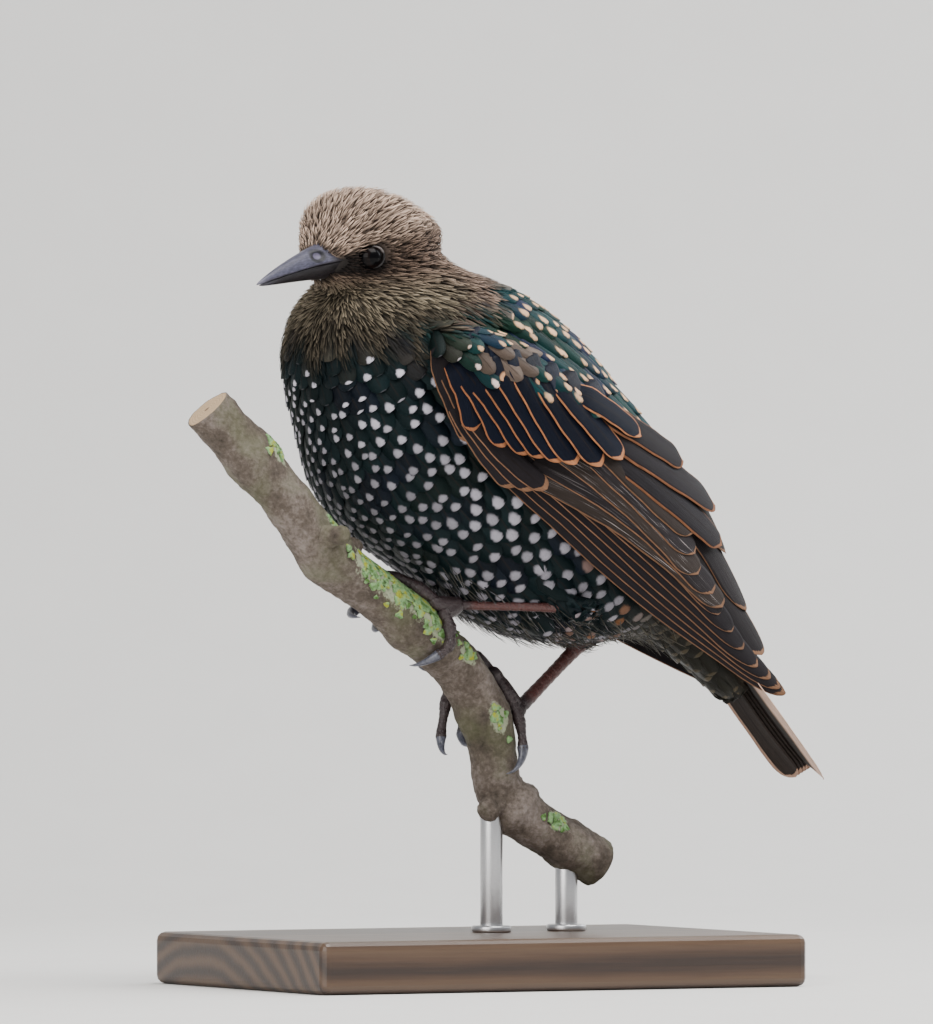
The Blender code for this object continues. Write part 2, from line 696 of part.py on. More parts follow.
def make_perch():
    places = np.linspace(0, 1, 38)
    turns = np.arange(ROUND_PERCH) * 360 / ROUND_PERCH
    perch = loft("perch", [[perch_point(place, turn, 0.0) for turn in turns] for place in places], "bark")
    stubs = []
    for place, degrees, height, radius in STUBS:
        root = perch_point(place, degrees, -3.0)
        top = perch_point(place, degrees, height)
        centres = [root + (top - root) * part for part in (0.0, 0.5, 0.9, 1.0)]
        radii = (radius * 1.25, radius * 1.05, radius * 0.9, radius * 0.6)
        stubs.append(tube("stub", centres, radii, None, CUTTERS))
    join(perch, stubs)
    return perch


def toe_line(home, knots, count=10):
    """The centre line of a toe that grips the perch."""
    rows = spline(knots, np.linspace(0, 1, count))
    return np.array([perch_point(home + along / PERCH_LENGTH, degrees, lift) for along, degrees, lift in rows])


def make_foot(name, tarsus, perch_room):
    home, toes = TOES[name]
    ball_centre = np.array(FOOT_BALLS[name])
    foot = ball(f"foot_{name}", ball_centre, (BALL_RADIUS,) * 3, "leg_skin")
    pieces = []
    for toe, knots in toes.items():
        line = toe_line(home, knots)
        line = np.concatenate([[ball_centre + (line[0] - ball_centre) * 0.15], line])
        along = np.linspace(0, 1, len(line))
        pads = 1 + TOE_PADS * np.cos(along * 6 * math.pi)
        radii = (TOE_RADII[0] + (TOE_RADII[1] - TOE_RADII[0]) * along) * pads
        pieces.append(tube("toe", line, radii, None, CUTTERS))
        make_claw(f"claw_{name}_{toe}", line, radii[-1], CLAW_LENGTHS[toe], perch_room)
    join(foot, pieces)
    carve(foot, [perch_room])
    carve(tarsus, [inflated(foot)])
    return foot


def make_claw(name, line, radius, length, perch_room):
    """A hooked claw that carries on from a toe's end and bends back to the perch."""
    direction = unit(line[-1] - line[-2])
    bend = unit((line[-1] - line[-2]) - (line[-2] - line[-3]))
    start = line[-1] + direction * (GAP + 0.05)
    count = 6
    centres = []
    for k in range(count):
        turn = CLAW_HOOK * k / (count - 1)
        reach = length / CLAW_HOOK
        centres.append(start + reach * (math.sin(turn) * direction + (1 - math.cos(turn)) * bend))
    radii = [radius * 1.02 * (1 - 0.86 * (k / (count - 1))**0.9) for k in range(count)]
    claw = tube(name, centres, radii, "claw_horn")
    carve(claw, [perch_room])
    return claw


def make_stand(perch):
    bpy.ops.mesh.primitive_cube_add(size=1, location=(0, 0, BASE_HEIGHT / 2 * MM))
    base = bpy.context.object
    base.name = "stand_base"
    for vertex in base.data.vertices:
        vertex.co.x *= BASE_WIDTH * MM
        vertex.co.y *= BASE_LENGTH * MM
        vertex.co.z *= BASE_HEIGHT * MM
    for old in list(base.users_collection):
        old.objects.unlink(base)
    MODEL.objects.link(base)
    base.data.materials.append(finish_material("base_wood"))
    edge = base.modifiers.new("rounded_edges", "BEVEL")
    edge.width = BASE_ROUND * MM
    edge.segments = 3
    rods = []
    for number, place in enumerate(RODS, start=1):
        centre, _, _, _ = perch_frame(place)
        bottom = np.array((centre[0], centre[1], BASE_HEIGHT + GAP))
        top = np.array((centre[0], centre[1], centre[2] - PERCH_RADIUS + ROD_SINK))
        rod = tube(f"stand_rod_{number}", [bottom, (bottom + top) / 2, top], (ROD_RADIUS,) * 3, "rod_steel", around=16)
        rods.append(rod)
    carve(perch, [inflated(rod) for rod in rods])


def build():
    neck, torso = make_body()
    head, _ = make_head()
    carve(neck, [inflated(head)])
    make_bill(head)
    torso_room = inflated(torso)
    tail = make_tail(torso_room)
    tail_room = inflated(tail)
    for name, side in (("left", 1), ("right", -1)):
        make_wing(name, side, torso_room, tail_room)
    perch = make_perch()
    perch_room = inflated(perch)
    for name in ("left", "right"):
        tarsus, tibia = make_leg(name, torso_room)
        make_foot(name, tarsus, perch_room)
        carve(tibia, [inflated(tarsus)])
        carve(torso, [inflated(tarsus)])
    make_stand(perch)
    for cutter in list(CUTTERS.objects):
        bpy.data.objects.remove(cutter, do_unlink=True)


build()
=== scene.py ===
"""Looks of a young starling on a cut branch: plumage, bill, eyes, legs, bark and the stand.

Sizes are in millimetres and meshes in metres. The bird faces -Y and its left side is at +X.
"""
import math

import bpy
import numpy as np
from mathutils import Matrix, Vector, kdtree, noise
from mathutils.bvhtree import BVHTree


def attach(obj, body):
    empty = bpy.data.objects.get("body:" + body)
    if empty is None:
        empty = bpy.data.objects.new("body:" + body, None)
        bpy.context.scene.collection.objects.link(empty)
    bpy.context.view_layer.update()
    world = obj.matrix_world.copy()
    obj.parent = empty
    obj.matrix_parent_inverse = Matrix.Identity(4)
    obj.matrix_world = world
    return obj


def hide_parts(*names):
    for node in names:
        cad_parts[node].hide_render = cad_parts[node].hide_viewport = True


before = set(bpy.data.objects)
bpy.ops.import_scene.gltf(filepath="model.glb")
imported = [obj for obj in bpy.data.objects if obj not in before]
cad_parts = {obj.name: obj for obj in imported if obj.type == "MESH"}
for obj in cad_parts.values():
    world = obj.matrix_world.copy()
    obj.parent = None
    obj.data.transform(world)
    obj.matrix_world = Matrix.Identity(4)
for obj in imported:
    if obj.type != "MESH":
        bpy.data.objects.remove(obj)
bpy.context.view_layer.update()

MM = 0.001

# Body stations from the throat to the vent: back y and z, front y and z, half width.
BODY_STATIONS = (
    (-15.0, 170.5, -38.5, 162.5, 13.0),
    (-8.0, 165.0, -46.0, 153.5, 18.5),
    (2.0, 161.8, -48.3, 141.0, 23.0),
    (11.0, 157.8, -45.0, 127.5, 25.5),
    (22.0, 150.0, -41.0, 114.5, 26.5),
    (31.5, 140.0, -33.0, 104.0, 26.3),
    (40.0, 129.0, -20.5, 95.5, 25.2),
    (47.0, 118.5, -5.5, 85.5, 22.6),
    (52.5, 108.5, 10.0, 79.6, 19.0),
    (56.5, 99.5, 26.0, 78.6, 15.0),
    (59.5, 91.0, 41.0, 79.6, 11.0),
    (62.5, 82.5, 53.0, 73.2, 8.0),
    (66.5, 74.0, 61.0, 66.5, 6.0),
    (68.6, 68.5, 66.0, 65.0, 3.0),
)
BODY_FULLNESS = 2.15

HEAD_CENTRE = (2.0, -29.2, 169.0)
HEAD_TURN = 27.8
HEAD_TIP = 9.0
# Forward distance, half width, height above and depth below the head's axis.
HEAD_STATIONS = (
    (-18.6, 3.5, 2.0, 4.0),
    (-16.6, 6.8, 2.6, 9.0),
    (-12.6, 10.9, 5.2, 12.5),
    (-7.0, 13.1, 8.9, 14.5),
    (0.0, 14.6, 12.9, 13.6),
    (6.0, 13.6, 14.2, 11.2),
    (11.0, 10.9, 12.8, 9.0),
    (15.5, 8.2, 9.6, 7.0),
    (19.0, 5.6, 6.2, 5.4),
    (21.6, 3.2, 3.8, 3.8),
)
HEAD_BROW = 0.3
BILL_ROOT = (18.5, 0.0, -0.3)
EYE = (12.0, 8.1, -0.4)
EYE_RADIUS = 3.0

WING_LOWER = (
    (26.5, -27.4, 149.4),
    (28.6, -23.3, 135.6),
    (29.0, -12.5, 118.4),
    (27.2, 5.3, 104.6),
    (23.4, 25.2, 90.8),
    (15.5, 50.9, 77.5),
    (7.6, 75.1, 66.4),
)
WING_UPPER = (
    (25.0, -24.0, 154.5),
    (23.5, -3.0, 148.5),
    (17.0, 20.0, 141.0),
    (8.5, 40.0, 129.5),
    (3.4, 55.0, 113.0),
    (3.3, 66.5, 89.0),
    (6.6, 75.9, 67.4),
)
WING_BULGE = (1.6, 3.8, 5.3, 5.9, 5.4, 2.7, 0.2)
WING_DEPTH = (6.0, 8.0, 9.0, 8.0, 5.0, 1.2, 0.8)

TAIL_ROOT = (0.0, 50.0, 96.5)
TAIL_TIP = (0.0, 86.7, 47.3)
TAIL_HALF_WIDTHS = (5.0, 8.0, 11.0, 13.0, 12.2, 9.6)
TAIL_CURVE = 1.5
TAIL_ROOF = 1.6

LIE = (0.0, 0.66, -0.75)      # the way the body's feathers point


def unit(vector):
    vector = np.asarray(vector, float)
    return vector / np.maximum(np.linalg.norm(vector, axis=-1, keepdims=True), 1e-9)


def spline(values, place):
    """A smooth curve through evenly numbered values, read at a place from 0 to 1."""
    values = np.asarray(values, float)
    slopes = np.gradient(values, axis=0)
    scaled = np.clip(np.asarray(place, float), 0.0, 1.0) * (len(values) - 1)
    start = np.minimum(scaled.astype(int), len(values) - 2)
    t = scaled - start
    if values.ndim > 1:
        t = t[..., None]
    first = (2 * t**3 - 3 * t**2 + 1) * values[start] + (t**3 - 2 * t**2 + t) * slopes[start]
    return first + (3 * t**2 - 2 * t**3) * values[start + 1] + (t**3 - t**2) * slopes[start + 1]


def ease(low, high, value):
    """A soft step from 0 at low to 1 at high."""
    t = np.clip((np.asarray(value, float) - low) / (high - low), 0, 1)
    return t * t * (3 - 2 * t)


def mix(a, b, part):
    part = np.asarray(part, float)[..., None]
    return np.asarray(a, float) * (1 - part) + np.asarray(b, float) * part


def head_axes():
    turn = math.radians(HEAD_TURN)
    tip = math.radians(HEAD_TIP)
    level = np.array((math.sin(turn), -math.cos(turn), 0.0))
    forward = level * math.cos(tip) - np.array((0.0, 0.0, math.sin(tip)))
    left = np.array((math.cos(turn), math.sin(turn), 0.0))
    return np.array((forward, left, np.cross(forward, left)))


HEAD_AXES = head_axes()


def head_point(forward, left, up):
    """A place given in the head's own directions, forward, left and up."""
    return np.array(HEAD_CENTRE) + np.array((forward, left, up)) @ HEAD_AXES


def in_head(points):
    """Places in the head's own directions."""
    return (np.asarray(points) - HEAD_CENTRE) @ HEAD_AXES.T


def pick(*pieces):
    """Selects only these pieces, with the first one active."""
    if bpy.context.object and bpy.context.object.mode != "OBJECT":
        bpy.ops.object.mode_set(mode="OBJECT")
    bpy.ops.object.select_all(action="DESELECT")
    for piece in pieces:
        piece.select_set(True)
        bpy.context.view_layer.objects.active = pieces[0]


def mesh_piece(name, points, faces):
    """A piece from arrays of points in millimetres and of faces with equal corner counts."""
    points = np.asarray(points, float) * MM
    faces = np.asarray(faces, int)
    mesh = bpy.data.meshes.new(name)
    mesh.vertices.add(len(points))
    mesh.vertices.foreach_set("co", points.ravel())
    mesh.loops.add(faces.size)
    mesh.loops.foreach_set("vertex_index", faces.ravel())
    mesh.polygons.add(len(faces))
    mesh.polygons.foreach_set("loop_start", np.arange(len(faces)) * faces.shape[1])
    mesh.update(calc_edges=True)
    mesh.validate()
    piece = bpy.data.objects.new(name, mesh)
    bpy.context.scene.collection.objects.link(piece)
    mesh.shade_smooth()
    return piece


def keep_modifiers(piece):
    """Applies all the piece's modifiers."""
    pick(piece)
    for modifier in list(piece.modifiers):
        bpy.ops.object.modifier_apply(modifier=modifier.name)
    return piece


def join_pieces(pieces, name):
    pick(*pieces)
    if len(pieces) > 1:
        bpy.ops.object.join()
    pieces[0].name = name
    pieces[0].data.name = name
    return pieces[0]


def points_of(mesh):
    found = np.empty(len(mesh.vertices) * 3)
    mesh.vertices.foreach_get("co", found)
    return found.reshape(-1, 3) / MM


def normals_of(mesh):
    found = np.empty(len(mesh.vertices) * 3, dtype=np.float32)
    mesh.vertex_normals.foreach_get("vector", found)
    return found.reshape(-1, 3).astype(float)


def store(mesh, name, values):
    """Keeps a number or a colour for each point of a mesh, for its material to read."""
    values = np.asarray(values, float)
    if values.ndim == 1:
        mesh.attributes.new(name, "FLOAT", "POINT").data.foreach_set("value", values)
        return
    values = np.concatenate([values, np.ones((len(values), 1))], axis=1)
    mesh.attributes.new(name, "FLOAT_COLOR", "POINT").data.foreach_set("color", values.ravel())


def store_map(mesh, name, coordinates):
    """Keeps a UV map given for each point."""
    layer = mesh.uv_layers.new(name=name)
    corners = np.empty(len(mesh.loops), dtype=np.int32)
    mesh.loops.foreach_get("vertex_index", corners)
    layer.data.foreach_set("uv", np.asarray(coordinates, float)[corners].ravel())


def grid_faces(rows, columns, around=False):
    """Quads between the points of a grid."""
    across = columns if around else columns - 1
    i, j = np.meshgrid(np.arange(rows - 1), np.arange(across), indexing="ij")
    a = i * columns + j
    b = i * columns + (j + 1) % columns
    return np.stack([a, b, b + columns, a + columns], axis=-1).reshape(-1, 4)


def loft(name, rings):
    """A closed surface through rings of equal count, each end drawn in to a small hole and filled."""
    rings = np.asarray(rings, float)
    count, around = rings.shape[:2]
    middles = [rings[0].mean(axis=0), rings[-1].mean(axis=0)]
    points = np.concatenate([rings.reshape(-1, 3), middles])
    side = grid_faces(count, around, True)
    turn = np.arange(around)
    after = (turn + 1) % around
    last = (count - 1) * around
    first_end = np.stack([after, turn, np.full(around, count * around)], axis=1)
    last_end = np.stack([last + turn, last + after, np.full(around, count * around + 1)], axis=1)
    triangles = np.concatenate([side[:, (0, 1, 2)], side[:, (0, 2, 3)], first_end, last_end])
    return mesh_piece(name, points, triangles)


def mend_normals(piece):
    pick(piece)
    bpy.ops.object.mode_set(mode="EDIT")
    bpy.ops.mesh.select_all(action="SELECT")
    bpy.ops.mesh.normals_make_consistent(inside=False)
    bpy.ops.object.mode_set(mode="OBJECT")
    return piece


def body_ring(station, around, inset):
    """The body's outline at a station number, drawn in by the inset."""
    back_y, back_z, front_y, front_z, half_width = spline(BODY_STATIONS, station / (len(BODY_STATIONS) - 1))
    back = np.array((0.0, back_y, back_z))
    front = np.array((0.0, front_y, front_z))
    reach = (back - front) / 2
    reach *= max(1 - inset / np.linalg.norm(reach), 0.2)
    angles = np.arange(around) * 2 * math.pi / around
    power = 2 / BODY_FULLNESS
    lengthwise = np.sign(np.cos(angles)) * np.abs(np.cos(angles))**power
    sideways = np.sign(np.sin(angles)) * np.abs(np.sin(angles))**power
    side = np.array((max(half_width - inset, 0.5), 0.0, 0.0))
    return (back + front) / 2 + lengthwise[:, None] * reach + sideways[:, None] * side


def head_ring(place, around, inset):
    forward, half_width, above, below = spline(HEAD_STATIONS, place)
    ring = []
    for k in range(around):
        angle = 2 * math.pi * k / around
        rise = math.sin(angle)
        height = rise * max((above if rise > 0 else below) - inset, 0.4)
        fullness = 1 + HEAD_BROW * max(0.0, rise)
        ring.append(head_point(forward, max(half_width - inset, 0.4) * math.cos(angle) * fullness, height))
    return ring


def wing_sheet(along, across, lift, side):
    """A place on the folded wing: along from bend to tip, across from lower to upper edge."""
    def place(u, v):
        low = spline(WING_LOWER, u)
        high = spline(WING_UPPER, u)
        flat = low + (high - low) * v[..., None]
        ahead = spline(WING_LOWER, np.minimum(u + 0.02, 1)) - spline(WING_LOWER, np.maximum(u - 0.02, 0))
        outward = unit(np.cross(ahead, high - low))
        return flat + outward * (spline(WING_BULGE, u) * 4 * v * (1 - v))[..., None]

    along, across = np.broadcast_arrays(np.asarray(along, float), np.asarray(across, float))
    step = 0.01
    here = place(along, across)
    by_u = place(np.minimum(along + step, 1), across) - place(np.maximum(along - step, 0), across)
    by_v = place(along, across + step) - place(along, across - step)
    normal = unit(np.cross(by_u, by_v))
    point = here + normal * np.asarray(lift, float)[..., None]
    return point * np.array((side, 1.0, 1.0))


def tail_sheet(along, across, lift):
    """A place on the tail: along from root to tip, across from -1 to 1."""
    root, tip = np.array(TAIL_ROOT), np.array(TAIL_TIP)
    direction = unit(tip - root)
    above = np.array((0.0, -direction[2], direction[1]))
    along, across = np.broadcast_arrays(np.asarray(along, float), np.asarray(across, float))
    width = spline(TAIL_HALF_WIDTHS, along)
    height = np.asarray(lift, float) - TAIL_CURVE * np.sin(math.pi * along) - TAIL_ROOF * across**2
    return (root + (tip - root) * along[..., None] + above * height[..., None]
            + np.array((1.0, 0.0, 0.0)) * (width * across)[..., None])


def plate(name, outer, inner):
    """A closed plate between two grids."""
    points = np.concatenate([outer.reshape(-1, 3), inner.reshape(-1, 3)])
    return mend_normals(mesh_piece(name, points, sheet_faces(*outer.shape[:2])))


def sheet_faces(rows, columns):
    """Faces of a closed sheet whose two sides are grids, with the edge between them."""
    top = grid_faces(rows, columns)
    shift = rows * columns
    rim = rim_of(rows, columns)
    after = np.roll(rim, -1)
    edge = np.stack([rim, rim + shift, after + shift, after], axis=1)
    return np.concatenate([top, top[:, ::-1] + shift, edge])


def rim_of(rows, columns):
    """The point numbers round the edge of a grid."""
    rim = [j for j in range(columns)]
    rim += [i * columns + columns - 1 for i in range(1, rows)]
    rim += [(rows - 1) * columns + j for j in range(columns - 2, -1, -1)]
    rim += [i * columns for i in range(rows - 2, 0, -1)]
    return np.array(rim)


# The bird's form: what the feathers' tips reach, and the skin below them.

COAT_DEPTH = 1.3
SKIN_VOXEL = 0.9
ANKLES = {"left": (21.5, 16.6, 86.6), "right": (-8.5, 35.0, 82.5)}
FOOT_BALLS = {"left": (8.6, -10.0, 87.4), "right": (-4.0, 12.1, 63.4)}
KNEES = {"left": (14.5, 10.5, 97.0), "right": (-11.0, 28.0, 92.0)}
TIBIA_REACH = {"left": 0.24, "right": 0.36}


def limb(name, line, radii, around):
    """A tapered limb drawn as a curve with a round bevel, then made a mesh."""
    curve = bpy.data.curves.new(name, "CURVE")
    curve.dimensions = "3D"
    curve.bevel_depth = MM
    curve.bevel_resolution = max(around // 4 - 1, 1)
    curve.use_fill_caps = True
    path = curve.splines.new("POLY")
    path.points.add(len(line) - 1)
    for point, place, radius in zip(path.points, np.asarray(line, float) * MM, radii):
        point.co = (*place, 1.0)
        point.radius = radius
    piece = bpy.data.objects.new(name, curve)
    bpy.context.scene.collection.objects.link(piece)
    pick(piece)
    bpy.ops.object.convert(target="MESH")
    piece.data.shade_smooth()
    return piece


def thigh(name, inset):
    ankle, foot, knee = np.array(ANKLES[name]), np.array(FOOT_BALLS[name]), np.array(KNEES[name])
    heel = ankle - (foot - ankle) * 0.07
    start = ankle + (foot - ankle) * TIBIA_REACH[name]
    end = knee + (knee - ankle) * 0.2
    line = [heel, (heel + start) / 2, start + (end - start) * 0.25, start + (end - start) * 0.6, end]
    radii = np.array((2.4, 3.2, 4.0, 5.0, 5.0)) - inset * 0.7
    return limb("thigh", line, radii, 16)


def skin_lift(u, v):
    """How high the wing's skin lies over its sheet: it dives into the body at the bend and the top."""
    return -0.5 - 4.5 * (1 - ease(0.0, 0.09, u)) - 1.5 * ease(0.85, 1.0, v) - 1.2 * ease(0.4, 0.6, u)


def mantle_lift(u, v):
    """How high the scapulars' bed lies over the wing's sheet."""
    return -2.5 * (1 - ease(0.0, 0.06, u)) + 3.2 * ease(0.0, 0.12, u) * (1 - 0.8 * ease(0.62, 0.95, v))


def make_form(inset, wing_lift, name):
    """Body, head and thighs, and the wings if they have a lift, as one closed skin."""
    pieces = [loft("body", [body_ring(place, 56, inset) for place in np.linspace(0, 13, 70)])]
    places = (1 - np.cos(np.linspace(0, math.pi, 36))) / 2
    pieces.append(mend_normals(loft("head", [head_ring(place, 48, inset) for place in places])))
    mend_normals(pieces[0])
    pieces += [thigh("left", inset), thigh("right", inset)]
    if wing_lift:
        rows = np.linspace(0.01, 0.62, 36)[:, None]
        columns = np.linspace(0.04, 0.96, 20)[None, :]
        for side in (1, -1):
            outer = wing_sheet(rows, columns, wing_lift(rows + 0 * columns, columns + 0 * rows), side)
            depth = spline(WING_DEPTH, rows[:, 0])[:, None]
            inner = wing_sheet(rows, columns, -depth - 1.0 + 0 * columns, side)
            pieces.append(plate("wing", outer, inner))
    form = join_pieces(pieces, name)
    remesh = form.modifiers.new("one_skin", "REMESH")
    remesh.mode = "VOXEL"
    remesh.voxel_size = SKIN_VOXEL * MM
    soften = form.modifiers.new("soften", "SMOOTH")
    soften.factor = 0.5
    soften.iterations = 8
    keep_modifiers(form)
    form.data.shade_smooth()
    return form


# Feathers as thin closed vanes, many in one mesh.

def join_vanes(name, tops, undersides, across, along, patches, looks):
    """One mesh of many vanes, given as arrays of grids with the same row and column counts."""
    count, rows, columns = tops.shape[:3]
    points = np.concatenate([tops.reshape(count, -1, 3), undersides.reshape(count, -1, 3)], axis=1)
    each = rows * columns * 2
    pattern = sheet_faces(rows, columns)[:, ::-1]
    faces = (pattern[None] + (np.arange(count) * each)[:, None, None]).reshape(-1, 4)
    piece = mesh_piece(name, points.reshape(-1, 3), faces)
    place = np.stack(np.broadcast_arrays(across, along), axis=-1)
    place = np.broadcast_to(place, (count, rows, columns, 2)).reshape(count, -1, 2)
    place = np.concatenate([place, place], axis=1)
    store_map(piece.data, "feather", (place * (0.5, 1) + (0.5, 0)).reshape(-1, 2))
    corner, size = patches
    baked = corner[:, None, :] + place * (0.5, 1) * size[:, None, :] + size[:, None, :] * (0.5, 0)
    store_map(piece.data, "OFBake", baked.reshape(-1, 2))
    for label, values in looks.items():
        store(piece.data, label, np.repeat(values, each, axis=0))
    return piece


BAKE_CELLS = 256        # cells along each side of the bake map
BAKE_PATCH = 0.003      # a feather's patch in its cell, as a part of the map's side


def free_patches(wished):
    """A cell of its own on the bake map for each feather, as near as can be to the wished place."""
    taken = set()
    corners = np.empty((len(wished), 2))
    span = range(-40, 41)
    spiral = sorted(((i, j) for i in span for j in span), key=lambda cell: cell[0]**2 + cell[1]**2)
    for k, (u, v) in enumerate(wished):
        home = (int(u * BAKE_CELLS), int(v * BAKE_CELLS))
        for i, j in spiral:
            cell = (home[0] + i, home[1] + j)
            if cell not in taken and 0 <= min(cell) and max(cell) < BAKE_CELLS:
                break
        taken.add(cell)
        corners[k] = cell
    return (corners + 0.1) / BAKE_CELLS, np.full((len(wished), 2), BAKE_PATCH)


def scatter(form, spacing, order, wanted, candidates, seed):
    """Roots over the form in staggered rows: places, normals, each apart from the others by its spacing."""
    draw = np.random.default_rng(seed)
    mesh = form.data
    mesh.calc_loop_triangles()
    corners = np.empty(len(mesh.loop_triangles) * 3, dtype=np.int32)
    mesh.loop_triangles.foreach_get("vertices", corners)
    corners = corners.reshape(-1, 3)
    points, normals = points_of(mesh), normals_of(mesh)
    triangle = points[corners]
    area = np.linalg.norm(np.cross(triangle[:, 1] - triangle[:, 0], triangle[:, 2] - triangle[:, 0]), axis=1)
    chosen = draw.choice(len(corners), candidates, p=area / area.sum())
    first, second = np.sqrt(draw.random(candidates)), draw.random(candidates)
    weights = np.stack([1 - first, first * (1 - second), first * second], axis=1)
    places = (triangle[chosen] * weights[..., None]).sum(axis=1)
    ups = unit((normals[corners[chosen]] * weights[..., None]).sum(axis=1))
    keep = wanted(places, ups)
    places, ups = places[keep], ups[keep]
    gaps = spacing(places)
    turn = np.argsort(order(places) + draw.random(len(places)) * 0.3)
    tree = kdtree.KDTree(len(places))
    for number, place in enumerate(places):
        tree.insert(place, number)
    tree.balance()
    alive = np.ones(len(places), bool)
    roots = []
    for number in turn:
        if alive[number]:
            roots.append(number)
            for _, other, _ in tree.find_range(places[number], gaps[number]):
                alive[other] = False
    return places[roots], ups[roots]


def follow(tree, places, directions, length):
    """Points and normals on the form under three places along each feather."""
    steps, ups = [], []
    for part in (0.0, 0.5, 1.0):
        ahead = places + directions * (length * part)[:, None]
        found = [tree.find_nearest(Vector(point)) for point in ahead]
        steps.append(np.array([hit[0] for hit in found]))
        ups.append(np.array([hit[1] for hit in found]))
    return steps, ups


VANE_WIDTHS = {
    "round": (0.45, 0.95, 1.0, 0.90, 0.64, 0.22),
    "pointed": (0.50, 1.0, 0.94, 0.66, 0.34, 0.06),
    "hackle": (0.60, 1.0, 0.82, 0.52, 0.24, 0.05),
    "drop": (0.50, 0.95, 1.0, 0.84, 0.54, 0.16),
    "barb": (0.80, 1.0, 0.85, 0.60, 0.35, 0.12),
}
THREE_ACROSS = (-1.0, 0.0, 1.0)
ACROSS = {"barb": (-1.0, 1.0)}     # the other shapes have a point at the shaft too
VANE_PLACES = (0.0, 0.35, 0.65, 0.84, 0.95, 1.0)


def coat_vanes(tree, places, ups, directions, sizes, shape):
    """Tops and undersides of feathers that lie over the form.

    sizes has one row for each feather: length, half width, depth of the root, lift of the tip, camber.
    """
    length, half, depth, lift, camber = sizes.T
    steps, step_ups = follow(tree, places, directions, length)
    a = np.array(VANE_PLACES)[None, :, None]
    start, middle, end = (step[:, None, :] for step in steps)
    line = start * (1 - a) * (1 - 2 * a) + middle * 4 * a * (1 - a) + end * a * (2 * a - 1)
    upward = ups[:, None, :] * (1 - a) + step_ups[2][:, None, :] * a
    upward = unit(upward + step_ups[1][:, None, :] * a * (1 - a))
    rise = -depth[:, None] + (depth + lift)[:, None] * np.array(VANE_PLACES)[None, :]**0.75
    line = line + upward * rise[..., None]
    ahead = unit(np.gradient(line, axis=1))
    aside = unit(np.cross(upward, ahead))
    upward = np.cross(ahead, aside)
    across = np.array(ACROSS.get(shape, THREE_ACROSS))
    widths = np.array(VANE_WIDTHS[shape])[None, :, None]
    width = widths * half[:, None, None] * across
    bow = -camber[:, None, None] * half[:, None, None] * across**2 * widths
    grid = line[:, :, None] + aside[:, :, None] * width[..., None] + upward[:, :, None] * bow[..., None]
    thick = np.array((0.16, 0.14, 0.12, 0.10, 0.07, 0.05))[None, :, None] * (half[:, None, None] / 1.5)**0.4
    sink = upward[:, :, None] * np.broadcast_to(thick, bow.shape)[..., None]
    return grid + sink * 0.5, grid - sink * 0.5


# Where the plumage changes, and its colours.

CROWN = (0.60, 0.44, 0.34)
NAPE = (0.42, 0.30, 0.235)
CHEEK = (0.24, 0.165, 0.125)
THROAT = (0.26, 0.215, 0.15)
LOW_THROAT = (0.075, 0.062, 0.045)
LORE = (0.014, 0.010, 0.009)
BLACK = (0.0035, 0.0055, 0.0065)
TEAL = (0.004, 0.038, 0.042)
BLUE = (0.006, 0.013, 0.045)
GREEN = (0.004, 0.026, 0.015)
JUVENILE = (0.105, 0.078, 0.062)
WHITE = (0.66, 0.63, 0.72)
BUFF = (0.70, 0.43, 0.25)
ORANGE = (0.42, 0.17, 0.065)
OLIVE = (0.19, 0.155, 0.10)
VENT = (0.020, 0.018, 0.014)


def hood(points):
    """How far a place is inside the brown hood of the head and neck, in millimetres."""
    y, z = points[:, 1], points[:, 2]
    return z - (146.0 + 0.0074 * (y + 47)**2) + 6.0 * field(points * (1, 1, 0.2), 0.30, 21.0)


def lore(points):
    """How near a place is to the dark mask between bill and eye, 1 inside it."""
    forward, left, up = in_head(points).T
    part = np.clip((20.5 - forward) / 8.5, 0, 1)
    middle = -1.5 + 0.5 * part
    reach = 1.7 + 2.1 * part
    behind = np.clip(10.5 - forward, 0, 20)
    off = np.sqrt(((up - middle) / reach)**2 + (behind / 2.2)**2)
    return (1 - ease(0.75, 1.2, off)) * (np.abs(left) > 2.4)


def field(points, scale, seed):
    """Smooth noise over the bird, from -1 to 1."""
    return np.array([noise.noise(Vector(point * scale + seed)) for point in points])


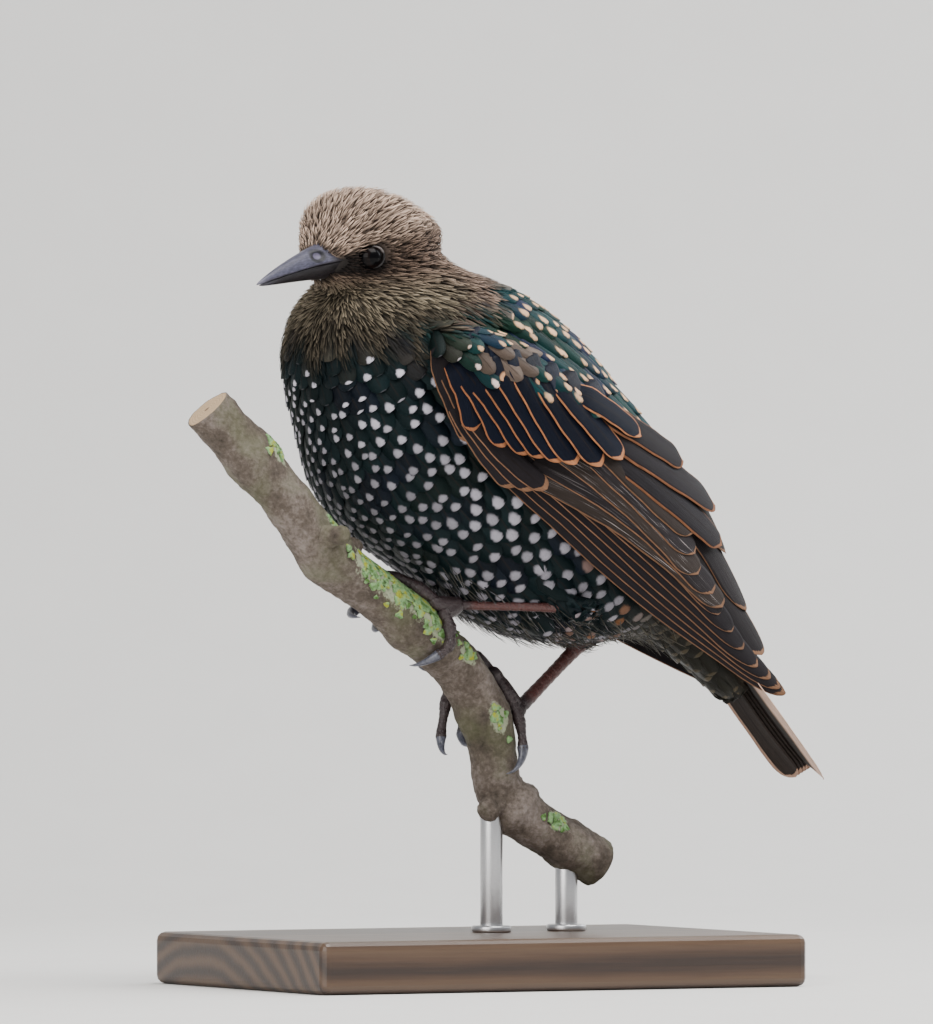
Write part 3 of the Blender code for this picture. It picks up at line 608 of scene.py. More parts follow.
def plumage(points, ups, seed):
    """Base and tip colours, spot length (mm) and part of the width, root's darkness (partly the feathers'
    own dark bases, partly painted shade between them), part of hood.
    """
    forward, left, up = in_head(points).T
    x, y, z = points.T
    deep = hood(points)
    inside = ease(-3.5, 3.5, deep + 2.5 * field(points, 0.16, 3.0))
    head = mix(CHEEK, CROWN, ease(0.5, 7.0, up + 0.15 * forward))
    head = mix(head, NAPE, ease(4.0, 14.0, -forward) * 0.8)
    low = ease(2.0, 9.0, -up - 0.1 * np.abs(left)) * ease(-12.0, 2.0, forward)
    head = mix(head, THROAT, low)
    head = mix(head, LOW_THROAT, ease(13.0, 1.0, deep) * ease(-8.0, -24.0, y) * 0.9)
    head = mix(head, LORE, lore(points) * 0.95)
    # back is how far the surface faces up and back; it picks the buff spots and the gloss. The teal, blue
    # and green gloss mixed into the base colour is painted sheen, strongest where the surface faces up and
    # back.
    back = ease(-0.15, 0.35, ups @ np.array((0.0, 0.62, 0.78)))
    back = back * (1 - ease(54.0, 60.0, y) * ease(84.0, 78.0, z))
    back = back * (1 - ease(46.0, 38.0, y) * ease(106.0, 96.0, z))
    tint = field(points, 0.11, 11.0)
    gloss = mix(mix(TEAL, BLUE, ease(0.05, 0.45, tint)), GREEN, ease(0.1, 0.45, -tint))
    body = mix(BLACK, gloss, 0.12 + 0.62 * back)
    belly = 1 - back
    vent = ease(24.0, 38.0, y) * belly
    body = mix(body, VENT, vent * 0.8)
    base = mix(body, head, inside)
    side = 0.5 * ease(2.0, 22.0, np.abs(x)) + 0.5 * ease(-44.0, -2.0, y)
    rusty = ease(10.0, 17.0, y) * ease(34.0, 26.0, y) * belly * ease(0.1, 0.5, seed)
    tip = mix(mix(mix(WHITE, BUFF, back), ORANGE, rusty), OLIVE, vent)
    # Painted shade: the spots' tip colour is made darker towards the lower flank and the low front of the
    # breast.
    tip = tip * (1 - 0.62 * belly * ease(146.0, 92.0, z))[:, None]
    tip = tip * (1 - 0.5 * belly * ease(-8.0, -30.0, y) * ease(148.0, 118.0, z))[:, None]
    seed = seed - 1.5 * ease(94.0, 84.0, z)
    spot = (1.55 + 1.15 * side) * np.clip(1 + 0.16 * seed, 0.6, 1.35) * (1 - 0.05 * back) * (1 - 0.35 * vent)
    spot = spot * ease(0.2, -2.0, deep)
    spot = spot * (1 - 0.9 * (seed > 0.2) * ease(-11.0, -7.0, deep) * belly)
    wide = 0.36 + 0.09 * side - 0.05 * back + 0.25 * vent
    return base, mix(tip, base * 1.5, inside), spot, wide, 0.12 + 0.76 * inside, inside


def lie_of(points, ups):
    """The way the feathers lie: out from the bill over the head, then back along the body."""
    from_bill = points - head_point(*BILL_ROOT)
    forward, _, up = in_head(points).T
    part = ease(2.0, 20.0, np.clip(-up - 5.0, 0, None) + np.clip(-forward - 5.0, 0, None))
    direction = unit(mix(unit(from_bill), np.broadcast_to(LIE, points.shape), part))
    for name, ankle in ANKLES.items():
        ankle = np.array(ankle)
        near = ease(11.0, 6.0, np.linalg.norm(points - ankle - (0, 0, 4.0), axis=1))
        direction = unit(mix(direction, np.broadcast_to(unit(ankle - KNEES[name]), points.shape), near))
    direction = direction - ups * (direction * ups).sum(axis=1, keepdims=True)
    return unit(direction)


def wing_place_of(points):
    """The nearest place on the folded wing, as parts of its length and width, and how far off it is."""
    along = np.linspace(0, 1, 70)[:, None]
    across = np.linspace(0, 1, 36)[None, :]
    sheet = wing_sheet(along, across, 0 * along * across, 1)
    along, across = np.broadcast_arrays(along, across)
    tree = kdtree.KDTree(sheet[..., 0].size)
    for number, point in enumerate(sheet.reshape(-1, 3)):
        tree.insert(point, number)
    tree.balance()
    found = [tree.find((abs(point[0]), point[1], point[2]))[1:] for point in points]
    nearest = np.array([number for number, _ in found], int)
    return along.ravel()[nearest], across.ravel()[nearest], np.array([away for _, away in found])


def under_wing(points):
    """Places that the folded wing covers."""
    u, v, away = wing_place_of(points)
    upper_edge = np.where(u < 0.5, 0.97, 0.86)
    return (away < 9.0) & (v > 0.05) & (v < upper_edge) & (u > 0.05) & (np.abs(points[:, 0]) > 6.0)


def on_mantle(points, ups):
    """The back between the wings, and the part of the wings that the scapulars and lesser coverts hide."""
    u, v, away = wing_place_of(points)
    border = np.interp(u, (0, 0.05, 0.10, 0.15, 0.2, 0.27, 0.34, 0.41, 0.47),
                       (0.0, 0.22, 0.36, 0.48, 0.62, 0.77, 0.88, 1.0, 1.2))
    outward = ups[:, 0] * np.sign(points[:, 0]) + 0.8 * ups[:, 2] + 0.3 * ups[:, 1] > 0.1
    return (hood(points) <= 1.0) & (v > border) & (away < 7.0) & outward & (points[:, 2] > 112.0)


def bake_place(points):
    """A place for each point on an unwrap of the bird: round it, and along it."""
    along = (points @ unit(LIE) + 160.0) / 190.0
    centre = np.stack([np.interp(points[:, 2], (60, 120, 182), (0, 0, 1.5)),
                       np.interp(points[:, 2], (65, 105, 145, 182), (60, 12, -20, -28))], axis=1)
    turn = np.arctan2(points[:, 0] - centre[:, 0], -(points[:, 1] - centre[:, 1])) / (2 * math.pi) + 0.5
    return np.clip(np.stack([turn, along], axis=1), 0.001, 0.985)


# Materials: shader sums are written as Python sums.

def sum_of(operation, turned=False):
    """A method that does one sum on two sockets or numbers."""
    def run(self, other=0.0):
        first, second = (other, self) if turned else (self, other)
        return self.finish.maths(operation, first, second)
    return run


class Shade:
    """A socket of a material that sums can be written with."""

    def __init__(self, finish, socket):
        self.finish = finish
        self.socket = socket

    __add__ = __radd__ = sum_of("ADD")
    __sub__ = sum_of("SUBTRACT")
    __rsub__ = sum_of("SUBTRACT", True)
    __mul__ = __rmul__ = sum_of("MULTIPLY")
    __truediv__ = sum_of("DIVIDE")
    __pow__ = sum_of("POWER")
    __abs__ = sum_of("ABSOLUTE")
    least = sum_of("MINIMUM")
    most = sum_of("MAXIMUM")

    def step(self, low, high):
        """A soft step from 0 at low to 1 at high."""
        values = {"Value": self, 1: low, 2: high}
        return self.finish.make("MapRange", values, interpolation_type="SMOOTHSTEP")


class Finish:
    """A Principled material whose nodes are added as they are needed."""

    def __init__(self, name, constants):
        self.material = bpy.data.materials.new(name)
        self.material.use_nodes = True
        self.tree = self.material.node_tree
        self.shader = self.tree.nodes["Principled BSDF"]
        for socket, value in constants.items():
            self.feed(self.shader.inputs[socket], value)

    def make(self, kind, values, output=0, **settings):
        """Any node, from what its sockets and settings are given."""
        made = self.tree.nodes.new("ShaderNode" + kind)
        for key, value in settings.items():
            setattr(made, key, value)
        for key, value in values.items():
            self.feed(made.inputs[key], value)
        return Shade(self, made.outputs[output])

    def ramp(self, value, *stops):
        """A colour for a number, through stops that are each a place and a colour."""
        made = self.make("ValToRGB", {0: value})
        elements = made.socket.node.color_ramp.elements
        while len(elements) < len(stops):
            elements.new(0.5)
        for element, (place, colour) in zip(elements, stops):
            element.position = place
            element.color = (*colour, 1.0)
        return made

    def feed(self, socket, value):
        if isinstance(value, Shade):
            self.tree.links.new(value.socket, socket)
        elif socket.type == "RGBA":
            socket.default_value = (*value, 1.0)
        else:
            socket.default_value = value

    def maths(self, operation, first, second):
        return self.make("Math", {0: first, 1: second}, operation=operation)

    def blend(self, part, first, second):
        return self.make("Mix", {0: part, 6: first, 7: second}, 2, data_type="RGBA", blend_type="MIX")

    def scaled(self, colour, amount):
        """A colour made lighter or darker by a number."""
        return self.make("VectorMath", {0: colour, 3: amount}, operation="SCALE")

    def attribute(self, name, output=0):
        return self.make("Attribute", {}, output, attribute_name=name)

    def parts(self, vector):
        split = self.tree.nodes.new("ShaderNodeSeparateXYZ")
        self.feed(split.inputs[0], vector)
        return [Shade(self, socket) for socket in split.outputs]

    def vector(self, x, y, z):
        return self.make("CombineXYZ", {0: x, 1: y, 2: z})

    def place(self):
        return self.make("TexCoord", {}, 3)

    def noise(self, vector, scale, detail=3.0, roughness=0.5):
        values = {"Vector": vector, "Scale": scale, "Detail": detail, "Roughness": roughness}
        return self.make("TexNoise", values)

    def stretched(self, vector, scale):
        return self.make("Mapping", {0: vector, 3: scale})

    def cells(self, vector, scale):
        """How far a place is from the edge of its cell."""
        return self.make("TexVoronoi", {"Vector": vector, "Scale": scale}, feature="DISTANCE_TO_EDGE")

    def use(self, colour, roughness=None, height=None, depth=0.001, strength=0.5):
        """Links what varies over the surface."""
        self.feed(self.shader.inputs["Base Color"], colour)
        if roughness is not None:
            self.feed(self.shader.inputs["Roughness"], roughness)
        if height is not None:
            bump = self.make("Bump", {"Height": height, "Distance": depth, "Strength": strength})
            self.feed(self.shader.inputs["Normal"], bump)
        return self.material


def feather_finish(name, constants, gloss, spots=True):
    """Feathers: streaked along the barbs, dark at the root (partly their own dark bases, partly painted
    shade where they overlap), with painted sheen streaks, tip spots and pale fringes.
    """
    finish = Finish(name, constants)
    u, v, _ = finish.parts(finish.make("UVMap", {}, 0, uv_map="feather"))
    u = u * 2 - 1
    base = finish.attribute("base")
    tip = finish.attribute("tip")
    spot, outer, inner = finish.parts(finish.attribute("traits", 1))
    root, end, silver = finish.parts(finish.attribute("extras", 1))
    tone = finish.attribute("tone", 2)
    aside = abs(u)
    barbs = finish.vector(u * 3.2 + tone * 37, v * 9 - aside * 2.2, tone * 19)
    streak = finish.noise(barbs, 2.2, 3.0, 0.6)
    hairs = finish.noise(finish.vector(u * 9 + tone * 51, v * 1.6, tone * 23), 2.4, 2.0, 0.6)
    shaft = 1 - aside.step(0.03, 0.11)
    # Darker towards each feather's root: partly the feathers' own dark bases, partly painted shade where the
    # feathers overlap.
    light = (streak * 0.6 + hairs * 0.9 + 0.25) * (1 - root * (1 - v.step(0.2, 0.9)))
    colour = finish.scaled(base, light)
    # Painted sheen: pale silvery streaks over the outer vane, more where the feather's sheen amount is
    # higher.
    sheen_streaks = (hairs.step(0.60, 0.72) * silver).least(1.0)
    near_shaft = u.step(-1.0, -0.85) - u.step(0.1, 0.35)
    colour = finish.blend(sheen_streaks * near_shaft, colour, (0.42, 0.38, 0.37))
    colour = finish.blend(shaft * 0.5 * (1 - v.step(0.8, 0.95)), colour, (0.012, 0.009, 0.008))
    if spots:
        width = 1 - (v - 0.65).most(0.0) * 0.55 - (v - 0.84).most(0.0) * 1.8 - (v - 0.95).most(0.0) * 6.0
        beside = aside * width / outer.most(0.01)
        up_spot = (1 - v) / spot.most(0.01)
        point = ((up_spot - 0.40).most(0.0) / 0.62) ** 1.3
        bottom = ((0.40 - up_spot).most(0.0) / 0.5) ** 2.0
        edge = beside ** 1.8 + point + bottom * 0.6 + (streak - 0.5) * 0.5 + (hairs - 0.5) * 0.45
        heart = (1 - edge.step(0.35, 1.15)) * spot.step(0.02, 0.08)
        colour = finish.blend(heart, colour, finish.scaled(tip, streak * 0.5 + tone * 0.35 + 0.5))
    else:
        left_edge = (0 - u).step(1 - outer * 1.15, 1 - outer * 0.85) * outer.step(0.0, 0.02)
        right_edge = u.step(1 - inner * 1.15, 1 - inner * 0.85) * inner.step(0.0, 0.02)
        tips = (v + (aside * aside) * end * 0.9 + (streak - 0.5) * 0.02).step(1 - end, 1 - end * 0.8)
        fringe = left_edge.most(right_edge).most(tips * end.step(0.0, 0.01))
        worn = (streak * 0.9 + 0.42).least(1.0)
        colour = finish.blend(fringe * worn, colour, finish.scaled(tip, streak * 0.4 + 0.8))
    height = hairs * 0.6 + streak * 0.4
    return finish.use(colour, streak * 0.2 + gloss, height, 0.0003, 0.5)


# The skin and the small feathers over it.

def tree_of(piece):
    return BVHTree.FromPolygons([tuple(point) for point in points_of(piece.data)],
                                [tuple(face.vertices) for face in piece.data.polygons])


form = make_form(0.0, None, "form")
form_tree = tree_of(form)
winged = make_form(0.0, mantle_lift, "winged")
winged_tree = tree_of(winged)
skin = make_form(COAT_DEPTH, skin_lift, "skin")


def by_the_eye(points):
    """Places in the head's own directions, and how far they are from the line through both eyes."""
    local = in_head(points)
    return local, np.hypot(local[:, 0] - EYE[0], local[:, 2] - EYE[2])


def clear_of_eyes(points, reach):
    """Points near an eye are drawn back inside the eyeball."""
    local, away = by_the_eye(points)
    for side in (1, -1):
        near = (away < reach) & (local[:, 1] * side > 3)
        local[near, 1] = side * np.minimum(np.abs(local[near, 1]), EYE[1] - 0.5)
    return local @ HEAD_AXES + HEAD_CENTRE


def paint_skin(piece):
    """Gives the skin the coat's colours, darker as painted shade under the feathers, and returns its
    material.
    """
    points = clear_of_eyes(points_of(piece.data), EYE_RADIUS + 0.2)
    piece.data.vertices.foreach_set("co", (points * MM).ravel())
    base = plumage(points, normals_of(piece.data), 0.0)[0]
    # Painted shade: the skin under the feathers takes the coat's colour at 0.45.
    store(piece.data, "base", base * 0.45)
    store_map(piece.data, "OFBake", bake_place(points))
    finish = Finish("skin_feathers", {"Roughness": 0.85})
    place = finish.place()
    grain = finish.noise(place, 1800.0, 3.0)
    colour = finish.scaled(finish.attribute("base"), grain * 0.8 + 0.6)
    return finish.use(colour, None, grain, 0.0002, 0.4)


def settle(piece, finish, slot, *nodes):
    """Gives a piece its material and body, and hides the solids that it stands for; its slot is not used."""
    piece.data.materials.clear()
    piece.data.materials.append(finish)
    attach(piece, "root")
    if nodes:
        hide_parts(*nodes)


HEAD_FINISH = feather_finish("head_feathers", {"Specular IOR Level": 0.12}, 0.65, spots=False)
BODY_FINISH = feather_finish("body_feathers", {"Specular IOR Level": 0.09}, 0.38)
WING_FINISH = feather_finish("wing_feathers", {"Specular IOR Level": 0.045}, 0.46, spots=False)


def bare(points):
    """The gape, where the bill's skin runs back into the feathers."""
    forward, _, up = in_head(points).T
    return (forward > 18.2) & (np.abs(up + 1.0) < (forward - 17.2) * 0.72)


def columns_of(*values):
    """Values for each feather, or one for all, side by side as columns."""
    return np.stack(np.broadcast_arrays(*values), axis=1)


def varied(draw, spread, count):
    """Factors about 1, for sizes and shades that differ from feather to feather."""
    return np.exp(draw.normal(0, spread, count))


def coat(name, zone, spacing, order, candidates, seed, shape, proportions, finish, slot, nodes=(),
         bed=None, pale=0.0):
    """Small feathers over one zone of the form, as one piece."""
    bed, bed_tree = bed or (form, form_tree)
    places, ups = scatter(bed, spacing, order, zone, candidates, seed)
    draw = np.random.default_rng(seed + 7)
    gaps = spacing(places)
    directions = lie_of(places, ups)
    sizes = proportions(places, ups, gaps, draw)
    local, off = by_the_eye(places)
    tip_off = by_the_eye(places + directions * sizes[:, :1])[1]
    short = (off < 7.5) & (tip_off < 3.2) & (np.abs(local[:, 1]) > 3)
    sizes[short, 0] *= 0.45
    sizes[:, 1] *= np.where(off < 7, 0.8, 1)
    tip_off = by_the_eye(places + directions * sizes[:, :1])[1]
    keep = ((off > np.where(tip_off > off, 2.6, 3.05)) & (tip_off > 2.85)) | (np.abs(local[:, 1]) < 3)
    keep &= ~bare(places) & ~bare(places + directions * sizes[:, :1] * 0.6)
    places, ups, directions, sizes = places[keep], ups[keep], directions[keep], sizes[keep]
    swing = draw.normal(0, 0.24 if shape == "barb" else 0.10, len(places))
    directions = unit(directions + np.cross(ups, directions) * swing[:, None])
    grid, under = coat_vanes(bed_tree, places, ups, directions, sizes, shape)
    half_way = places + directions * sizes[:, :1] * 0.5
    base, tip, spot, wide, root, inside = plumage(half_way, ups, draw.normal(0, 1, len(places)))
    tone = draw.random(len(places))
    vary = varied(draw, 0.16, len(places))[:, None]
    dark = (draw.random(len(places)) < 0.16) * inside
    clump = 1 + 0.35 * inside * field(half_way, 0.45, 40.0)
    base = base * vary * ((1 - 0.45 * dark) * clump)[:, None]
    juvenile = (draw.random(len(places)) < 0.015) & (inside < 0.2) & (ups[:, 2] > 0.3)
    for across_view, height, reach in YOUNG_PATCHES:
        aside = half_way[:, 0] * VIEW_RIGHT[0] + half_way[:, 1] * VIEW_RIGHT[1] - across_view
        near = np.hypot(aside, half_way[:, 2] - height)
        juvenile |= (near < reach) & (half_way[:, 0] > 0) & (bed is winged)
    base[juvenile] = np.array(JUVENILE) * vary[juvenile]
    base = mix(base, (0.17, 0.155, 0.125), pale * draw.random(len(places))**1.5)
    if finish is BODY_FINISH:
        base = mix(base, BLACK, inside * 0.75)
    traits = columns_of(np.clip(spot / sizes[:, 0], 0, 0.6) * ~juvenile, wide * (finish is BODY_FINISH), 0.0)
    looks = {"base": base, "tip": tip, "traits": traits, "extras": columns_of(root, 0.0, 0.0), "tone": tone}
    across = np.array(ACROSS.get(shape, THREE_ACROSS))[None, :]
    patches = free_patches(bake_place(places))
    piece = join_vanes(name, grid, under, across, np.array(VANE_PLACES)[:, None], patches, looks)
    settle(piece, finish, slot, *nodes)


# Old grey-brown feathers on the left shoulder: across the view, height and reach in millimetres.
YOUNG_PATCHES = ((-3.5, 154.0, 3.2), (7.0, 144.5, 4.2))
VIEW_RIGHT = (0.454, 0.891)     # the photo's direction to the right


def from_bill(points):
    return np.linalg.norm(points - head_point(*BILL_ROOT), axis=1)


def hackle_gap(points):
    away = from_bill(points)
    gap = 0.60 + 0.50 * ease(3.0, 24.0, away) + 0.30 * ease(26.0, 44.0, away)
    return gap * (0.75 + 0.25 * ease(3.0, 7.0, by_the_eye(points)[1]))


def crown_part(points):
    forward, _, up = in_head(points).T
    return ease(3.0, 9.0, up) * ease(20.0, 13.0, forward)


def hackle_sizes(points, ups, gaps, draw):
    crown = crown_part(points)
    length = gaps * (4.4 + 1.4 * crown) * (1 - 0.35 * lore(points)) * varied(draw, 0.16, len(points))
    half = gaps * 0.36
    lift = 0.05 + 0.10 * gaps + crown * (0.15 + 0.9 * draw.random(len(points))**1.5)
    depth = 0.5 + 0.5 * ease(4.0, 16.0, from_bill(points))
    return columns_of(length, half, depth, lift, 0.35)


def barb_gap(points):
    return 0.55 + 0.34 * ease(3.0, 20.0, from_bill(points))


def barb_sizes(points, ups, gaps, draw):
    """Loose hair-like barbs that stand a little off the head."""
    crown = crown_part(points)
    length = gaps * (4.6 + 1.2 * crown) * (1 - 0.4 * lore(points)) * varied(draw, 0.2, len(points))
    half = 0.09 + 0.05 * draw.random(len(points))
    lift = 0.25 + 0.35 * draw.random(len(points)) + crown * (0.3 + 0.7 * draw.random(len(points)))
    return columns_of(length, half, 0.25, lift, 0.0)


def body_gap(points):
    side = 0.5 * ease(2.0, 22.0, np.abs(points[:, 0])) + 0.5 * ease(-44.0, -2.0, points[:, 1])
    return 2.75 + 1.55 * side


def over_leg(points):
    """The feathers of the left flank that hang over the middle of the shank."""
    ankle, foot = np.array(ANKLES["left"]), np.array(FOOT_BALLS["left"])
    middle = ankle + (foot - ankle) * 0.42 + np.array((-3.0, 0.0, 3.0))
    return ease(5.5, 2.5, np.linalg.norm(points - middle, axis=1))


def body_sizes(points, ups, gaps, draw):
    length = gaps * 2.4 * varied(draw, 0.06, len(points)) * (1 + 0.5 * ease(46.0, 60.0, points[:, 1]))
    lift = 0.12 + 0.22 * draw.random(len(points)) + 2.4 * over_leg(points)
    return columns_of(length, gaps * 0.78, 1.15, lift, 0.22)


def mantle_gap(points):
    return 2.6 + 2.0 * ease(-38.0, 2.0, points[:, 1])


def mantle_sizes(points, ups, gaps, draw):
    length = gaps * (2.7 + 0.3 * ease(-30.0, 10.0, points[:, 1])) * varied(draw, 0.08, len(points))
    return columns_of(length, gaps * 0.66, 1.0, 0.25 + 0.25 * draw.random(len(points)), 0.3)


def wisp_gap(points):
    return np.full(len(points), 1.35)


def wisp_sizes(points, ups, gaps, draw):
    """Ragged wisps that hang below the belly and between the legs."""
    length = 5.2 * varied(draw, 0.25, len(points))
    half = 0.10 + 0.08 * draw.random(len(points))
    lift = 0.5 + 1.5 * draw.random(len(points))**1.5
    return columns_of(length, half, 0.3, lift, 0.0)


def under_belly(points, ups):
    return (ups[:, 2] < -0.66) & (points[:, 1] > -16.0) & (points[:, 1] < 46.0)


def in_hood(points, ups):
    return hood(points) > -1.0


def on_body(points, ups):
    return (hood(points) <= 0.8) & ~under_wing(points) & ~on_mantle(points, ups)


def down_the_body(points):
    return points @ unit(LIE)


def bill_ring(near, far):
    """The part of the hood between two distances from the bill."""
    def zone(points, ups):
        away = from_bill(points)
        return in_hood(points, ups) & (away >= near) & (away < far)
    return zone


MANTLE_BED = (winged, winged_tree)
coat("body_coat", on_body, body_gap, down_the_body, 60000, 7, "round", body_sizes, BODY_FINISH,
     "breast_feathers", ["tibia_left", "tibia_right"])
coat("mantle_coat", on_mantle, mantle_gap, down_the_body, 60000, 8, "drop", mantle_sizes, BODY_FINISH,
     "breast_feathers", bed=MANTLE_BED)
coat("neck_coat", bill_ring(26.5, 999), hackle_gap, from_bill, 70000, 6, "pointed", hackle_sizes,
     HEAD_FINISH, "head_feathers", ["neck"], MANTLE_BED)
coat("head_coat", bill_ring(0, 27), hackle_gap, from_bill, 90000, 5, "hackle", hackle_sizes, HEAD_FINISH,
     "head_feathers", ["head"])
coat("head_barbs", bill_ring(0, 21), barb_gap, from_bill, 90000, 9, "barb", barb_sizes, HEAD_FINISH,
     "head_feathers")
coat("neck_barbs", bill_ring(21, 42), barb_gap, from_bill, 90000, 10, "barb", barb_sizes, HEAD_FINISH,
     "head_feathers")
coat("belly_barbs", under_belly, wisp_gap, down_the_body, 30000, 11, "barb", wisp_sizes, BODY_FINISH,
     "breast_feathers", pale=0.6)
settle(skin, paint_skin(skin), "breast_feathers", "torso")
for bed in (form, winged):
    bpy.data.objects.remove(bed, do_unlink=True)


# Wing and tail feathers, each laid along its own line on the folded wing's sheet.

LONG_PLACES = np.append(np.linspace(0.0, 0.54, 8), 0.6 + 0.4 * np.sin(np.linspace(0.0, math.pi / 2, 14)))
TIP_LENGTHS = {"primary": 4.2, "rounded": 1.5, "covert": 1.6}     # how long a tip is, in half widths
WING_REACH = 130.0     # the wing's length from the bend to the tip


def chord(along):
    return np.linalg.norm(spline(WING_UPPER, along) - spline(WING_LOWER, along), axis=-1)


def long_vane(surface, plume, columns, draw):
    """One long feather on a surface that takes a place along and across in millimetres, and a lift."""
    along = LONG_PLACES
    half = plume.half
    centre = plume.line(along)
    ahead = unit(np.gradient(centre, axis=0))
    aside = np.stack([-ahead[:, 1], ahead[:, 0]], axis=1)
    across = np.linspace(-1, 1, columns)
    wave = 1 + 0.025 * np.sin(along * 23 + draw.random() * 6)
    tip = min(TIP_LENGTHS[plume.shape] * half / np.linalg.norm(centre[-1] - centre[0]), 0.6)
    rounding = np.sqrt(1 - (0.985 * np.clip((along - 1) / tip + 1, 0, 1))**2.2)
    reach = ((0.5 + 0.5 * ease(-0.1, 0.3, along)) * rounding * wave * half)[:, None] * across[None, :]
    spots = centre[:, None, :] + aside[:, None, :] * reach[..., None]
    sweep = -0.05 * half * np.abs(across)[None, :] * ease(0.75, 1.0, along)[:, None]
    spots = spots + ahead[:, None, :] * sweep[..., None]
    ridge = 1 - np.abs((across - plume.shaft) / (1 + abs(plume.shaft)))**1.3
    rise = plume.lift + plume.camber * ridge[None, :] - plume.sunk * (1 - ease(0.0, 0.25, along))[:, None]
    rise = rise + 0.1 * along[:, None] - plume.tilt * across[None, :] * ease(0.1, 0.4, along)[:, None]
    thick = (0.26 - 0.16 * along)[:, None] * (1 + 0 * across)
    return surface(spots, rise + thick / 2), surface(spots, rise - thick / 2)


def curve_through(start, middle, end):
    """A line that bends through its middle place."""
    start, middle, end = (np.array(place, float) for place in (start, middle, end))

    def line(t):
        t = t[:, None]
        return start * (1 - t) * (1 - 2 * t) + middle * 4 * t * (1 - t) + end * t * (2 * t - 1)
    return line


def on_wing(side):
    def surface(spots, lift):
        u = spots[..., 0] / WING_REACH
        v = spots[..., 1] / np.maximum(chord(u), 1.5)
        return wing_sheet(u, v, lift, side)
    return surface


def wing_place(u, v):
    """A place on the wing in millimetres, from parts of its length and of its width."""
    return (u * WING_REACH, v * float(chord(np.array(u))))


class Plume:
    """What one long feather needs: its line, size, layer, outline and colours."""

    def __init__(self, start, middle, end, half, lift, shape, base, tip, outer, inner, end_band, **more):
        self.line = curve_through(start, middle, end)
        self.half, self.lift, self.shape = half, lift, shape
        self.base, self.tip = base, tip
        self.traits = (more.get("spot", 0.0), outer, inner)
        # The first extra is how much darker the feather is at its root: partly its own dark base, partly
        # painted shade under the feathers over it.
        self.extras = (more.get("root", 0.15), end_band, more.get("silver", 0.0))
        self.shaft = more.get("shaft", -0.3)
        self.camber = more.get("camber", 0.32)
        self.sunk = more.get("sunk", 0.9)
        self.tilt = more.get("tilt", 0.12)


def wing_plume(places, *rest, **more):
    """A long feather through three places, given as parts of the wing's length and width."""
    return Plume(*[wing_place(*place) for place in places], *rest, **more)


SLATE = (0.010, 0.010, 0.014)
DEEP_BLUE = (0.006, 0.010, 0.024)
BROWN = (0.034, 0.026, 0.022)
DARK_BROWN = (0.016, 0.012, 0.011)
FRINGE = (0.27, 0.102, 0.046)
FRINGE_TIP = (0.43, 0.185, 0.085)
PALE_FRINGE = (0.20, 0.105, 0.060)


def halfway(start, end, lean):
    """A place between two, moved across by the lean."""
    return ((start[0] + end[0]) / 2, (start[1] + end[1]) / 2 + lean)


def primaries():
    tips = ((1.0, 0.3), (0.984, 0.8), (0.957, 1.5), (0.922, 2.3), (0.878, 4.2), (0.84, 6.4), (0.80, 8.0))
    made = []
    for k, (u, e) in enumerate(tips):
        start = (WING_REACH * (0.27 + 0.012 * k), 2.6 + 1.25 * k)
        middle = (WING_REACH * (0.62 + 0.005 * k), 2.5 + 1.75 * k)
        base = mix(DARK_BROWN, SLATE, 0.5)
        end = (u * WING_REACH, e)
        made.append(Plume(start, middle, end, 3.0 + 0.06 * k, 0.2 + 0.17 * k, "primary", base,
                          PALE_FRINGE, 0.07, 0.0, 0.014, shaft=-0.45))
    return made


def secondaries():
    under = (((0.42, 0.5), (0.68, 0.50), (0.918, 0.52)),
             ((0.42, 0.6), (0.63, 0.66), (0.845, 0.78)),
             ((0.40, 0.7), (0.58, 0.80), (0.76, 0.92)))
    made = [wing_plume(places, 5.2, 0.15 + 0.15 * k, "rounded", mix(DARK_BROWN, SLATE, 0.4),
                       PALE_FRINGE, 0.05, 0.08, 0.02, sunk=0.4) for k, places in enumerate(under)]
    # The last number of each row is the amount of painted sheen: pale silvery streaks over the outer vane.
    rows = (((0.36, 0.10), (0.60, 0.275), (0.797, 0.385), 0.9),
            ((0.37, 0.20), (0.585, 0.325), (0.768, 0.385), 0.3),
            ((0.38, 0.32), (0.575, 0.36), (0.727, 0.38), 1.0),
            ((0.40, 0.42), (0.565, 0.42), (0.70, 0.46), 0.8),
            ((0.41, 0.50), (0.555, 0.48), (0.675, 0.54), 0.0))
    for k, (*places, silver) in enumerate(rows):
        made.append(wing_plume(places, 3.7, 1.35 + 0.13 * k, "rounded",
                               mix(BROWN, SLATE, 0.15 + 0.5 * (k % 2)), PALE_FRINGE, 0.08, 0.0, 0.018,
                               silver=silver, shaft=-0.35))
    return made


def tertials():
    rows = (((0.40, 0.50), (0.61, 0.585), (0.733, 0.755), 4.6),
            ((0.38, 0.60), (0.56, 0.69), (0.690, 0.96), 4.8),
            ((0.35, 0.69), (0.49, 0.745), (0.583, 0.86), 4.2))
    return [wing_plume(places, half, 2.05 + 0.22 * k, "rounded", mix(SLATE, BROWN, 0.25),
                       mix(FRINGE, PALE_FRINGE, 0.4), 0.12, 0.04, 0.04)
            for k, (*places, half) in enumerate(rows)]


